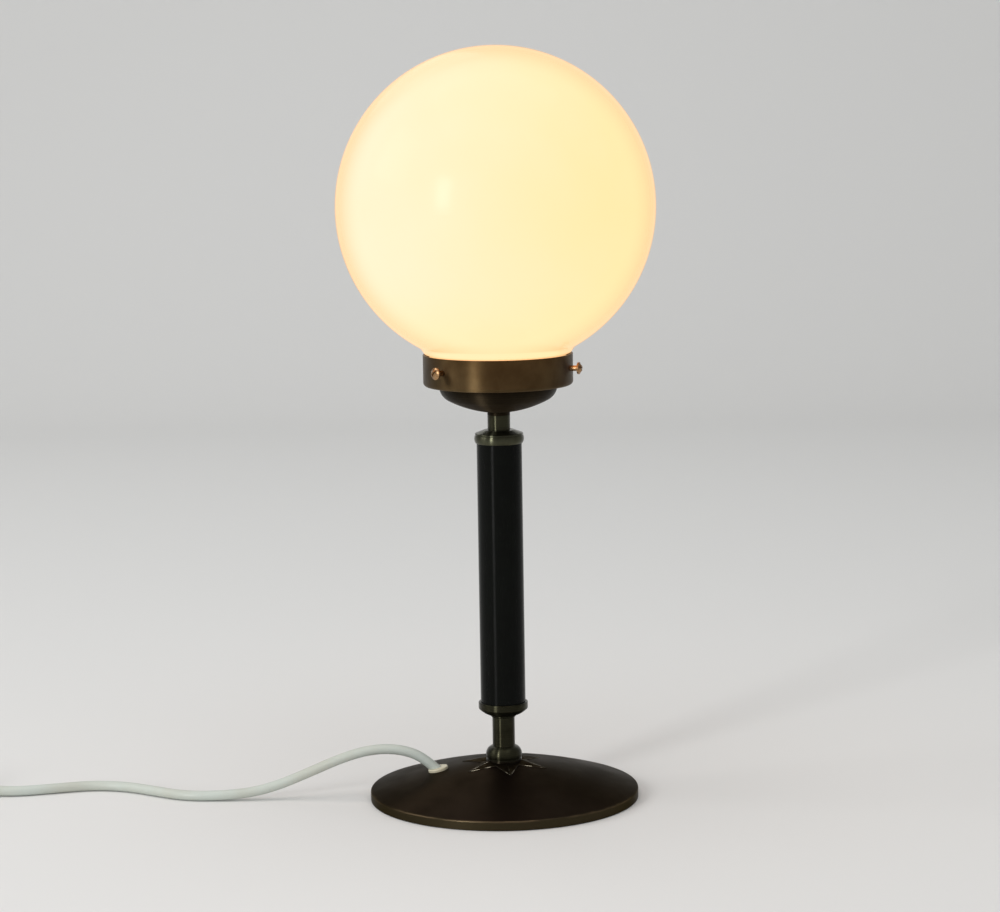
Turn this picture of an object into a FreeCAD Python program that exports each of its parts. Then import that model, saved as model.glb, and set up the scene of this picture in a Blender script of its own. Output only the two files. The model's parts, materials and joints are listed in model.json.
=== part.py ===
import FreeCAD, Part
import math
import os

import Sketcher

# Glass globe table lamp. Millimetres, +Z up, origin on the floor under the middle of the base.
# The cord leaves the base towards -X.

Vector = FreeCAD.Vector
UP = Vector(0, 0, 1)

doc = FreeCAD.newDocument("globe_lamp")
sheet = doc.addObject("Spreadsheet::Sheet", "Sizes")

# Driving dimensions
DRIVING = {
    # base
    "base_radius": 85.5,
    "base_rim_height": 6.0,
    "base_height": 23.0,
    "base_flat_radius": 12.0,
    "base_dome_radius": 400.0,
    "base_sheet": 1.0,
    "base_floor_gap": 0.4,
    "felt_thickness": 1.5,
    "cover_thickness": 0.8,
    "cover_play": 0.05,
    "weight_radius": 76.0,
    "weight_edge_height": 7.0,
    "weight_underside": 5.0,
    "weight_recess_radius": 26.0,
    "weight_recess_height": 16.0,
    # star and stem
    "star_thickness": 0.7,
    "star_tip_radius": 29.0,
    "star_valley_radius": 14.5,
    "star_crest": 0.9,
    "collar_radius": 11.4,
    "collar_height": 9.8,
    "tube_radius": 5.0,
    "tube_bore_radius": 4.0,
    "tube_fit": 0.2,
    "neck_radius": 7.15,
    "lower_neck_length": 18.8,
    "upper_neck_length": 11.7,
    "cap_radius": 15.7,
    "lower_cap_height": 9.7,
    "upper_cap_height": 8.3,
    "cap_lip": 4.0,
    "sleeve_radius": 14.25,
    "sleeve_wall": 2.4,
    "sleeve_fit": 0.1,
    "sleeve_length": 174.2,
    # gallery and its screws
    "ring_radius": 47.1,
    "ring_height": 19.7,
    "gallery_sheet": 1.2,
    "bowl_radius": 37.3,
    "bowl_depth": 16.7,
    "bowl_corner": 10.5,
    "bowl_seat_radius": 9.0,
    "screw_height": 11.2,
    "screw_radius": 1.75,
    "screw_hole_radius": 1.8,
    "screw_tip_distance": 43.3,
    "screw_shank_length": 8.7,
    "screw_head_radius": 3.75,
    "screw_head_length": 2.5,
    "screw_slot": 0.9,
    "boss_radius": 3.4,
    "boss_height": 1.1,
    # globe
    "globe_radius": 100.0,
    "globe_wall": 3.0,
    "globe_neck_radius": 43.0,
    "globe_centre_height": 91.6,
    "globe_shoulder_radius": 45.8,
    "globe_meeting_radius": 48.6,
    "moving_gap": 0.3,
    # nuts and washers on the threaded tube
    "nut_width": 14.0,
    "nut_height": 3.0,
    "base_nut_height": 4.5,
    "gallery_washer_radius": 8.9,
    "base_washer_radius": 14.0,
    "washer_thickness": 1.5,
    # lamp holder and bulb
    "holder_radius": 19.0,
    "holder_wall": 1.5,
    "holder_cap_height": 20.0,
    "holder_skirt_height": 32.0,
    "holder_seat": 17.5,
    "insert_height": 9.5,
    "shell_radius": 13.4,
    "shell_wall": 0.4,
    "shell_height": 22.5,
    "contact_height": 2.8,
    "bulb_radius": 30.0,
    "bulb_length": 107.0,
    "bulb_cap_radius": 13.1,
    "bulb_wall": 0.8,
    # cord
    "cord_diameter": 6.4,
    "wire_diameter": 2.4,
    "wire_spacing": 3.0,
    "bush_distance": 42.1,
    "bush_flange_radius": 6.4,
    "bush_flange_height": 1.8,
    "bush_barrel_radius": 5.2,
    "clamp_screw_radius": 1.5,
    "coil_outer_radius": 46.0,
    "coil_pitch": 7.0,
    "coil_turns_per_layer": 3,
    "floor_clearance": 0.1,
    # inline switch
    "switch_length": 62.0,
    "switch_width": 27.0,
    "switch_base_height": 7.0,
    "switch_top_height": 11.0,
    "switch_chamber_length": 40.0,
    "switch_chamber_width": 21.0,
    "switch_skin": 1.6,
    "switch_seam": 0.45,
    "rocker_length": 23.2,
    "rocker_width": 12.2,
    "rocker_tilt": 7.0,
    "pivot_height": 13.2,
    "pivot_radius": 1.2,
    # plug
    "plug_length": 36.0,
    "plug_width": 25.7,
    "plug_height": 13.7,
    "plug_tail_width": 14.0,
    "relief_length": 24.0,
    "relief_radius": 5.0,
    "pin_spacing": 18.6,
    "pin_radius": 2.0,
    "pin_length": 19.0,
    "pin_sleeve_length": 10.0,
}


class Size:
    """A length together with the sheet formula that gives it."""

    def __init__(self, value, text):
        self.value = value
        self.text = text

    def __add__(self, other):
        return joined(self, "+", other)

    def __sub__(self, other):
        return joined(self, "-", other)

    def __mul__(self, other):
        return joined(self, "*", other)

    def __truediv__(self, other):
        return joined(self, "/", other)

    def __radd__(self, other):
        return joined(other, "+", self)

    def __rsub__(self, other):
        return joined(other, "-", self)

    def __rmul__(self, other):
        return joined(other, "*", self)

    def __neg__(self):
        return joined(0, "-", self)


def sized(amount):
    return amount if isinstance(amount, Size) else Size(float(amount), repr(float(amount)))


def joined(left, sign, right):
    left = sized(left)
    right = sized(right)
    results = {
        "+": left.value + right.value,
        "-": left.value - right.value,
        "*": left.value * right.value,
        "/": left.value / right.value if right.value else 0.0,
    }
    return Size(results[sign], f"({left.text} {sign} {right.text})")


def root(amount):
    return Size(math.sqrt(amount.value), f"sqrt({amount.text})")


class Dimensions:
    """The sheet's cells by name, each as a Size."""


for row, (name, number) in enumerate(DRIVING.items(), 1):
    sheet.set(f"A{row}", name)
    sheet.set(f"B{row}", str(number))
    sheet.setAlias(f"B{row}", name)
doc.recompute()
size = Dimensions()
for name in DRIVING:
    setattr(size, name, Size(float(sheet.get(name)), f"Sizes.{name}"))

nodes = {}


def keep(label, thing):
    """Make a document object the sub-part of this name."""
    thing.Label = label
    nodes[label] = thing
    return thing


def bind(thing, path, amount):
    """Bind one property to the sheet, or set it where the amount is plain."""
    thing.setExpression(path, sized(amount).text)


def move(thing, x=0, y=0, z=0, rotation=None):
    thing.Placement = FreeCAD.Placement(Vector(0, 0, 0), rotation or FreeCAD.Rotation())
    for axis, amount in (("x", x), ("y", y), ("z", z)):
        bind(thing, f".Placement.Base.{axis}", amount)
    return thing


# Sketches: closed outlines that run counterclockwise


def arc_between(start, end, radius):
    """The shorter arc from start to end. A positive radius bulges to the right of the way it runs."""
    chord = end - start
    middle = (start + end) * 0.5
    right = Vector(chord.y, -chord.x, 0).normalize()
    offset = math.sqrt(max(radius * radius - chord.Length ** 2 / 4, 0.0))
    side = 1 if radius > 0 else -1
    centre = middle - right * (offset * side)
    first = math.atan2(start.y - centre.y, start.x - centre.x)
    last = math.atan2(end.y - centre.y, end.x - centre.x)
    circle = Part.Circle(centre, UP, abs(radius))
    if radius > 0:
        return Part.ArcOfCircle(circle, first, last if last > first else last + 2 * math.pi), 1, 2
    return Part.ArcOfCircle(circle, last, first if first > last else first + 2 * math.pi), 2, 1


def outline(body, name, plane, corners):
    """A closed sketch of (x, y) or (x, y, arc radius to the next corner), each bound to the sheet."""
    sketch = body.newObject("Sketcher::SketchObject", name)
    support = [item for item in body.Origin.OriginFeatures if item.Role == plane][0]
    sketch.AttachmentSupport = [(support, "")]
    sketch.MapMode = "FlatFace"
    points = [Vector(sized(corner[0]).value, sized(corner[1]).value, 0) for corner in corners]
    ends = []
    for index, corner in enumerate(corners):
        start = points[index]
        end = points[(index + 1) % len(points)]
        if len(corner) == 3:
            arc, first, last = arc_between(start, end, sized(corner[2]).value)
            side = sketch.addGeometry(arc)
            ends.append((side, first, last))
        else:
            side = sketch.addGeometry(Part.LineSegment(start, end))
            ends.append((side, 1, 2))
    for index, (side, first, last) in enumerate(ends):
        after = ends[(index + 1) % len(ends)]
        sketch.addConstraint(Sketcher.Constraint("Coincident", side, last, after[0], after[1]))
        across, up = corners[index][:2]
        for kind, amount, axis in (("DistanceX", across, -2), ("DistanceY", up, -1)):
            amount = sized(amount)
            if amount.value == 0:
                sketch.addConstraint(Sketcher.Constraint("PointOnObject", side, first, axis))
            elif amount.value > 0:
                number = sketch.addConstraint(
                    Sketcher.Constraint(kind, -1, 1, side, first, amount.value))
                sketch.setExpression(f"Constraints[{number}]", amount.text)
            else:
                number = sketch.addConstraint(
                    Sketcher.Constraint(kind, side, first, -1, 1, -amount.value))
                sketch.setExpression(f"Constraints[{number}]", (-amount).text)
        if len(corners[index]) == 3:
            radius = sized(corners[index][2])
            radius = radius if radius.value > 0 else -radius
            number = sketch.addConstraint(Sketcher.Constraint("Radius", side, radius.value))
            sketch.setExpression(f"Constraints[{number}]", radius.text)
    return sketch


def dress(body, kind, chosen, amount):
    """Fillet or chamfer the edges of the body's last feature that the test picks."""
    doc.recompute()
    base = body.Tip
    names = [f"Edge{number}" for number, edge in enumerate(base.Shape.Edges, 1)
             if not edge.Degenerated and chosen(edge)]
    if not names:
        raise RuntimeError(f"{body.Name}: no edge to round")
    feature = body.newObject(f"PartDesign::{kind}", f"{body.Name}_{kind.lower()}")
    feature.Base = (base, names)
    bind(feature, "Radius" if kind == "Fillet" else "Size", amount)
    base.Visibility = False
    return feature


def ring_at(radius, height):
    """Test for the circular edge of a turned piece at this radius and height."""
    wanted = (sized(radius).value, sized(height).value)

    def test(edge):
        curve = edge.Curve
        if not isinstance(curve, Part.Circle):
            return False
        return abs(curve.Radius - wanted[0]) < 1e-4 and abs(curve.Center.z - wanted[1]) < 1e-4
    return test


def upright(edge):
    """Test for an edge that runs straight up."""
    return isinstance(edge.Curve, Part.Line) and abs(edge.tangentAt(edge.FirstParameter).z) > 0.999


def level_at(height):
    wanted = sized(height).value

    def test(edge):
        return all(abs(vertex.Point.z - wanted) < 1e-4 for vertex in edge.Vertexes)
    return test


def lathe(name, corners, rounds=(), axis="V_Axis"):
    """A turned piece: outline of (radius, height) revolved about the vertical axis."""
    body = doc.addObject("PartDesign::Body", name)
    sketch = outline(body, name + "_outline", "XZ_Plane", corners)
    turn = body.newObject("PartDesign::Revolution", name + "_turn")
    turn.Profile = sketch
    turn.ReferenceAxis = (sketch, [axis])
    turn.Angle = 360
    sketch.Visibility = False
    for radius, height, amount in rounds:
        dress(body, "Fillet", ring_at(radius, height), amount)
    return body


def slab(name, corners, height, plane="XY_Plane"):
    """A flat outline made solid over this height."""
    body = doc.addObject("PartDesign::Body", name)
    sketch = outline(body, name + "_outline", plane, corners)
    pad = body.newObject("PartDesign::Pad", name + "_pad")
    pad.Profile = sketch
    bind(pad, "Length", height)
    sketch.Visibility = False
    return body


def tube_piece(name, inner, outer, bottom, top, rounds=()):
    corners = [(inner, bottom), (outer, bottom), (outer, top), (inner, top)]
    return lathe(name, corners, rounds)


def rod(name, radius, length, x=0, y=0, z=0, rotation=None):
    """A plain cylinder that starts at the given point."""
    piece = doc.addObject("Part::Cylinder", name)
    bind(piece, "Radius", radius)
    bind(piece, "Height", length)
    return move(piece, x, y, z, rotation)


def block(name, length, width, height, x=0, y=0, z=0):
    """A box centred on x and y that stands on z."""
    piece = doc.addObject("Part::Box", name)
    bind(piece, "Length", length)
    bind(piece, "Width", width)
    bind(piece, "Height", height)
    return move(piece, sized(x) - sized(length) / 2, sized(y) - sized(width) / 2, z)


def fused(name, pieces):
    union = doc.addObject("Part::MultiFuse", name)
    union.Shapes = pieces
    return union


def grouped(name, pieces):
    """Separate solids kept as one sub-part."""
    group = doc.addObject("Part::Compound", name)
    group.Links = pieces
    return group


def cut(name, base, tools):
    remainder = doc.addObject("Part::Cut", name)
    remainder.Base = base
    remainder.Tool = tools[0] if len(tools) == 1 else fused(name + "_tools", tools)
    return remainder


def hexagon(name, width, height, bore, z):
    blank = doc.addObject("Part::Prism", name + "_blank")
    blank.Polygon = 6
    bind(blank, "Circumradius", width / math.sqrt(3))
    bind(blank, "Height", height)
    move(blank, 0, 0, z)
    return cut(name, blank, [rod(name + "_bore", bore, sized(height) + 2, 0, 0, sized(z) - 1)])


TURN_X = FreeCAD.Rotation(Vector(0, 1, 0), 90)
TURN_Y = FreeCAD.Rotation(Vector(1, 0, 0), -90)
bore = size.tube_radius + size.tube_fit

# Heights up the stem, each piece standing on the one below

base_top = size.base_height
star_top = base_top + size.star_thickness
collar_top = star_top + size.collar_height
lower_cap_bottom = collar_top + size.lower_neck_length
lower_cap_top = lower_cap_bottom + size.lower_cap_height
sleeve_bottom = lower_cap_top - size.cap_lip
sleeve_top = sleeve_bottom + size.sleeve_length
upper_cap_bottom = sleeve_top - size.cap_lip
upper_cap_top = upper_cap_bottom + size.upper_cap_height
gallery_bottom = upper_cap_top + size.upper_neck_length
ledge_height = gallery_bottom + size.bowl_depth
ring_top = ledge_height + size.ring_height
globe_centre = ring_top + size.globe_centre_height
cover_bottom = size.felt_thickness
cover_top = cover_bottom + size.cover_thickness


# Base

CLAMP_X = -27.0
CLAMP_SCREW_OFFSET = 8.0


def make_base_shell():
    wall = size.base_sheet
    edge_round = 0.9
    bush_play = 0.5
    corners = [
        (size.base_radius, size.base_floor_gap),
        (size.base_radius, size.base_rim_height, size.base_dome_radius),
        (size.base_flat_radius, base_top),
        (bore, base_top),
        (bore, base_top - wall),
        (size.base_flat_radius, base_top - wall, -(size.base_dome_radius - wall)),
        (size.base_radius - wall, size.base_rim_height - wall * 0.85),
        (size.base_radius - wall, size.base_floor_gap),
    ]
    spun = lathe("base_spun", corners, [(size.base_radius, size.base_rim_height, edge_round)])
    hole = rod("bush_hole", size.bush_barrel_radius + bush_play, base_top, -size.bush_distance)
    keep("base_shell", cut("base_shell", spun, [hole]))


def make_base_weight():
    corners = [
        (size.weight_recess_radius, size.weight_underside),
        (size.weight_radius, size.weight_underside),
        (size.weight_radius, size.weight_edge_height),
        (size.base_flat_radius, base_top - size.base_sheet),
        (bore, base_top - size.base_sheet),
        (bore, size.weight_recess_height),
        (size.weight_recess_radius, size.weight_recess_height),
    ]
    casting = lathe("weight_casting", corners)
    channel_length, channel_height, channel_middle = 26, 9.2, -31
    channel = block("cord_channel", channel_length, size.cord_diameter + 2, channel_height,
                    channel_middle, 0, size.weight_underside)
    pocket_radius, pocket_shift = 9.5, 1.5
    pocket = rod("bush_pocket", pocket_radius, base_top, pocket_shift - size.bush_distance)
    radius = size.clamp_screw_radius + 0.1
    hole_bottom, hole_depth = size.weight_underside - 1, 6
    holes = [rod(f"clamp_hole_{side}", radius, hole_depth, CLAMP_X, side * CLAMP_SCREW_OFFSET, hole_bottom)
             for side in (1, -1)]
    keep("base_weight", cut("base_weight", casting, [channel, pocket] + holes))


def make_base_bottom():
    radius = size.base_radius - size.base_sheet - size.cover_play
    keep("bottom_cover", rod("bottom_cover", radius, size.cover_thickness, 0, 0, cover_bottom))
    edge = radius - 0.4
    keep("base_felt", lathe("base_felt", [(0, 0), (edge, 0), (edge, cover_bottom), (0, cover_bottom)]))


make_base_shell()
make_base_weight()
make_base_bottom()

# Where the cord leaves the base: a point on the sloping sheet and the sheet's own slope there


def dome_point(distance):
    """Height and downward slope angle of the base's outside at a distance from the axis."""
    rim = Vector(size.base_radius.value, size.base_rim_height.value, 0)
    flat = Vector(size.base_flat_radius.value, size.base_height.value, 0)
    arc, _, _ = arc_between(rim, flat, size.base_dome_radius.value)
    centre = arc.Center
    rise = math.sqrt(size.base_dome_radius.value ** 2 - (distance - centre.x) ** 2)
    return centre.y + rise, math.atan2(distance - centre.x, rise)


cord_radius = size.cord_diameter.value / 2
bush_z, bush_slope = dome_point(size.bush_distance.value)
bush_seat = Vector(-size.bush_distance.value, 0, bush_z)
bush_up = Vector(-math.sin(bush_slope), 0, math.cos(bush_slope))
CORD_LEAN = math.radians(48)
cord_out = Vector(-math.sin(CORD_LEAN), 0, math.cos(CORD_LEAN))


def cord_exit_point():
    """The cord crosses the bush's own axis half way through it, and ends level with the flange's top."""
    depth = 2.5
    middle = bush_seat + bush_up * (size.bush_flange_height.value - depth)
    return middle + cord_out * (depth / cord_out.dot(bush_up))


cord_exit = cord_exit_point()


def make_cord_bush():
    """Flange on the sheet, barrel through the hole, and a lip below that holds it."""
    depth, lip_height, lip_width, flange_round = 4.0, 1.8, 0.9, 0.7
    tilt = FreeCAD.Rotation(UP, bush_up)
    flange = rod("bush_flange", size.bush_flange_radius, size.bush_flange_height)
    barrel = rod("bush_barrel", size.bush_barrel_radius, size.bush_flange_height + depth, 0, 0, -depth)
    lip = rod("bush_lip", size.bush_barrel_radius + lip_width, lip_height, 0, 0, -depth - 0.2)
    solid = fused("bush_solid", [flange, barrel, lip])
    rounded = doc.addObject("Part::Fillet", "bush_rounded")
    doc.recompute()
    rounded.Base = solid
    top = size.bush_flange_height.value
    edges = [number for number, edge in enumerate(solid.Shape.Edges, 1)
             if isinstance(edge.Curve, Part.Circle) and abs(edge.Curve.Center.z - top) < 1e-4]
    rounded.Edges = [(number, flange_round, flange_round) for number in edges]
    rounded.Placement = FreeCAD.Placement(bush_seat, tilt)
    along = FreeCAD.Rotation(UP, cord_out)
    radius = size.cord_diameter / 2 + 0.03
    passage_depth, passage_length, throat_length, throat_flare = 14, 24, 10, 4
    start = cord_exit - cord_out * passage_depth
    passage = rod("bush_passage", radius, passage_length, start.x, start.y, start.z, along)
    throat = doc.addObject("Part::Cone", "bush_throat")
    bind(throat, "Radius1", radius + throat_flare)
    bind(throat, "Radius2", radius)
    throat.Height = throat_length
    move(throat, start.x, start.y, start.z, along)
    keep("cord_bush", cut("cord_bush", rounded, [passage, throat]))


make_cord_bush()


# Star rosette: six ridged rays that lie on the top of the base


def make_star():
    """Each ray has a crest that falls from the plate to the tip, between two valleys."""
    rays = 6
    first_tip = math.radians(-22)
    tip_share, valley_share = 0.5, 0.75
    step = 2 * math.pi / rays
    plate_radius = size.base_flat_radius.value
    crest_start = plate_radius + 0.6
    thickness = size.star_thickness.value
    flat_z = base_top.value
    sunk = 0.4

    def at(radius, angle, z):
        return Vector(radius * math.cos(angle), radius * math.sin(angle), z)

    def on_base(radius):
        return dome_point(radius)[0]

    tip_radius = size.star_tip_radius.value
    valley_radius = size.star_valley_radius.value
    hole_radius = (bore.value + 0.1) / math.cos(step / 4)
    faces = []

    def face(*points):
        faces.append(Part.Face(Part.makePolygon(list(points) + [points[0]])))

    for ray in range(rays):
        middle = first_tip + ray * step
        low_tip = at(tip_radius, middle, on_base(tip_radius) - sunk)
        high_tip = at(tip_radius, middle, on_base(tip_radius) + thickness * tip_share)
        low_plate = at(plate_radius, middle, flat_z - sunk)
        high_plate = at(plate_radius, middle, flat_z + thickness)
        crest = at(crest_start, middle, flat_z + thickness + size.star_crest.value)
        low_hole = at(hole_radius, middle, flat_z - sunk)
        high_hole = at(hole_radius, middle, flat_z + thickness)
        for side in (-1, 1):
            angle = middle + side * step / 2
            low_valley = at(valley_radius, angle, on_base(valley_radius) - sunk)
            high_valley = at(valley_radius, angle, on_base(valley_radius) + thickness * valley_share)
            low_side = at(plate_radius, angle, flat_z - sunk)
            high_side = at(plate_radius, angle, flat_z + thickness)
            low_hole_side = at(hole_radius, angle, flat_z - sunk)
            high_hole_side = at(hole_radius, angle, flat_z + thickness)
            face(crest, high_tip, high_valley)
            face(crest, high_valley, high_side)
            face(crest, high_side, high_plate)
            face(high_plate, high_side, high_hole_side, high_hole)
            face(high_hole, high_hole_side, low_hole_side, low_hole)
            face(low_plate, low_side, low_hole_side, low_hole)
            face(low_tip, low_valley, low_side)
            face(low_tip, low_side, low_plate)
            face(low_tip, high_tip, high_valley)
            face(low_tip, high_valley, low_valley)
    shell = Part.makeShell(faces)
    shell.sewShape()
    solid = Part.makeSolid(shell)
    if solid.Volume < 0:
        solid.reverse()
    doc.recompute()
    star = doc.addObject("Part::Feature", "star_rosette")
    star.Shape = solid.cut(nodes["base_shell"].Shape)
    keep("star_rosette", star)


make_star()

# Stem


def make_collar():
    """Low skirt, a fine groove, and a rounded bead up to the neck."""
    radius = size.collar_radius
    skirt, groove_width, groove_depth, bead_round = 1.5, 0.4, 0.5, 5.6
    groove_top = star_top + skirt + groove_width
    corners = [
        (bore, star_top),
        (radius, star_top),
        (radius, star_top + skirt),
        (radius - groove_depth, star_top + skirt),
        (radius - groove_depth, groove_top, bead_round),
        (size.neck_radius + 0.2, collar_top),
        (bore, collar_top),
    ]
    keep("collar", lathe("collar", corners))


def make_lower_cap():
    """Small bead on the neck, a slope that widens upwards, and a straight lip round the sleeve."""
    radius = size.cap_radius
    inner = size.sleeve_radius + size.sleeve_fit
    bead = 1.2
    slope_top = lower_cap_bottom + 5.3
    slope_round = 16
    corners = [
        (bore, lower_cap_bottom),
        (size.neck_radius + 0.5, lower_cap_bottom, bead * 0.6),
        (size.neck_radius + 0.5, lower_cap_bottom + bead),
        (size.neck_radius + 1.4, lower_cap_bottom + bead, slope_round),
        (radius - 0.3, slope_top),
        (radius, slope_top + 0.5),
        (radius, lower_cap_top),
        (inner, lower_cap_top),
        (inner, sleeve_bottom),
        (bore, sleeve_bottom),
    ]
    keep("lower_cap", lathe("lower_cap", corners, [(radius, lower_cap_top, 0.4)]))


def make_upper_cap():
    """Rounded band, a fine groove, and a bevel up to the neck."""
    radius = size.cap_radius
    inner = size.sleeve_radius + size.sleeve_fit
    band_top = upper_cap_bottom + 5.0
    band_round, ridge_round = 5.2, 0.6
    ridge = (radius - 0.6, band_top + 1.3)
    corners = [
        (inner, upper_cap_bottom),
        (radius - 0.85, upper_cap_bottom, band_round),
        (radius - 0.45, band_top),
        (radius - 0.9, band_top + 0.2),
        (radius - 0.9, band_top + 0.6),
        (radius - 0.4, band_top + 0.8),
        ridge,
        (size.neck_radius + 2.6, upper_cap_top),
        (bore, upper_cap_top),
        (bore, sleeve_top),
        (inner, sleeve_top),
    ]
    keep("upper_cap", lathe("upper_cap", corners, [(*ridge, ridge_round)]))


def make_stem():
    neck = size.neck_radius
    keep("lower_neck", tube_piece("lower_neck", bore, neck, collar_top, lower_cap_bottom))
    keep("upper_neck", tube_piece("upper_neck", bore, neck, upper_cap_top, gallery_bottom))
    outer = size.sleeve_radius
    inner = outer - size.sleeve_wall
    keep("stem_sleeve", tube_piece("stem_sleeve", inner, outer, sleeve_bottom, sleeve_top))


make_collar()
make_lower_cap()
make_upper_cap()
make_stem()

# Threaded tube that holds the whole stack together, with its nuts and washers

washer_bottom = size.weight_recess_height - size.washer_thickness
base_nut_bottom = washer_bottom - size.base_nut_height
tube_bottom = base_nut_bottom - 0.5
gallery_floor = gallery_bottom + size.gallery_sheet
gallery_nut_bottom = gallery_floor + size.washer_thickness
holder_bottom = gallery_nut_bottom + size.nut_height
HOLDER_NECK = 8.0
tube_top = holder_bottom + HOLDER_NECK


def make_tie():
    tube = tube_piece("threaded_tube", size.tube_bore_radius, size.tube_radius, tube_bottom, tube_top)
    keep("threaded_tube", tube)
    low = tube_piece("base_washer", bore, size.base_washer_radius, washer_bottom, size.weight_recess_height)
    keep("base_washer", low)
    high = tube_piece("gallery_washer", bore, size.gallery_washer_radius, gallery_floor, gallery_nut_bottom)
    keep("gallery_washer", high)
    keep("base_nut", hexagon("base_nut", size.nut_width, size.base_nut_height, bore, base_nut_bottom))
    keep("gallery_nut", hexagon("gallery_nut", size.nut_width, size.nut_height, bore, gallery_nut_bottom))


make_tie()

# Gallery: one spun piece, a shallow bowl that opens into a straight ring

SCREW_AZIMUTHS = (-137, -17, 103)
screw_z = ledge_height + size.screw_height


def make_gallery():
    wall = size.gallery_sheet
    corner = size.bowl_corner
    depth = size.bowl_depth
    wide = size.bowl_radius - corner
    sweep = (wide * wide + depth * depth - corner * corner) / ((depth - corner) * 2)
    stretch = sweep / (sweep - corner)
    inner_stretch = (sweep - wall) / (sweep - corner)
    centre_z = gallery_bottom + sweep
    fall = sweep - depth
    ring = size.ring_radius
    corners = [
        (bore, gallery_bottom),
        (size.bowl_seat_radius, gallery_bottom, sweep),
        (wide * stretch, centre_z - fall * stretch, corner),
        (size.bowl_radius, ledge_height),
        (ring, ledge_height),
        (ring, ring_top),
        (ring - wall, ring_top),
        (ring - wall, ledge_height + wall),
        (size.bowl_radius - wall, ledge_height + wall),
        (size.bowl_radius - wall, ledge_height, -(corner - wall)),
        (wide * inner_stretch, centre_z - fall * inner_stretch, -(sweep - wall)),
        (size.bowl_seat_radius, gallery_floor),
        (bore, gallery_floor),
    ]
    foot_round, inner_round, rim_round = 2.3, 1.0, 0.35
    rounds = [
        (ring, ledge_height, foot_round),
        (ring - wall, ledge_height + wall, inner_round),
        (ring, ring_top, rim_round),
    ]
    spun = lathe("gallery_spun", corners, rounds)
    drill = 10
    holes = []
    for number, azimuth in enumerate(SCREW_AZIMUTHS, 1):
        start = ring - drill / 2
        holes.append(radial_rod(f"screw_hole_{number}", size.screw_hole_radius, drill, start, azimuth))
    keep("gallery", cut("gallery", spun, holes))


def radial_rod(name, radius, length, start, azimuth):
    """A cylinder that points away from the axis at the screws' height."""
    angle = math.radians(azimuth)
    rotation = FreeCAD.Rotation(UP, azimuth) * TURN_X
    return rod(name, radius, length, start * math.cos(angle), start * math.sin(angle), screw_z, rotation)


def make_screw_bosses():
    """Tapped bosses on the inside of the ring, one behind each screw hole."""
    inside = size.ring_radius - size.gallery_sheet
    face = inside - size.boss_height
    half_band = 6
    drill = 12
    bosses = []
    for number, azimuth in enumerate(SCREW_AZIMUTHS, 1):
        band = tube_piece(f"boss_band_{number}", face, inside, screw_z - half_band, screw_z + half_band)
        disc = radial_rod(f"boss_disc_{number}", size.boss_radius, drill, inside - drill / 2, azimuth)
        boss = doc.addObject("Part::Common", f"boss_blank_{number}")
        boss.Base = band
        boss.Tool = disc
        hole = radial_rod(f"boss_hole_{number}", size.screw_hole_radius, drill, inside - drill / 2, azimuth)
        bosses.append(cut(f"boss_{number}", boss, [hole]))
    keep("screw_bosses", grouped("screw_bosses", bosses))


def make_fitter_screw(number, azimuth, slot_angle):
    """Round slotted head on a plain shank, made along +X from its tip."""
    name = f"fitter_screw_{number}"
    shank = size.screw_radius
    head = size.screw_head_radius
    under = size.screw_shank_length
    end = under + size.screw_head_length
    point, dome_rise, dome_round, slot_depth = 0.6, 1.5, 5.2, 1.1
    corners = [
        (0, 0),
        (end, 0),
        (end, head * 0.45, -dome_round),
        (end - dome_rise, head),
        (under, head),
        (under, shank),
        (point, shank),
        (0, shank - point),
    ]
    blank = lathe(name + "_blank", corners, axis="H_Axis")
    slot = doc.addObject("Part::Box", name + "_slot")
    slot.Length = 3
    bind(slot, "Width", size.screw_slot)
    bind(slot, "Height", head * 3)
    turned = FreeCAD.Rotation(Vector(1, 0, 0), slot_angle)
    corner = turned.multVec(Vector(0, -size.screw_slot.value / 2, -1.5 * head.value))
    slot.Placement = FreeCAD.Placement(corner + Vector(end.value - slot_depth, 0, 0), turned)
    screw = cut(name, blank, [slot])
    angle = math.radians(azimuth)
    tip = size.screw_tip_distance
    move(screw, tip * math.cos(angle), tip * math.sin(angle), screw_z, FreeCAD.Rotation(UP, azimuth))
    keep(name, screw)


make_gallery()
make_screw_bosses()
SLOT_ANGLES = (-38, 64, 15)
for number, (azimuth, slot_angle) in enumerate(zip(SCREW_AZIMUTHS, SLOT_ANGLES), 1):
    make_fitter_screw(number, azimuth, slot_angle)

# Globe: blown glass with a short straight neck and a shoulder that covers the ring's edge


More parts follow.
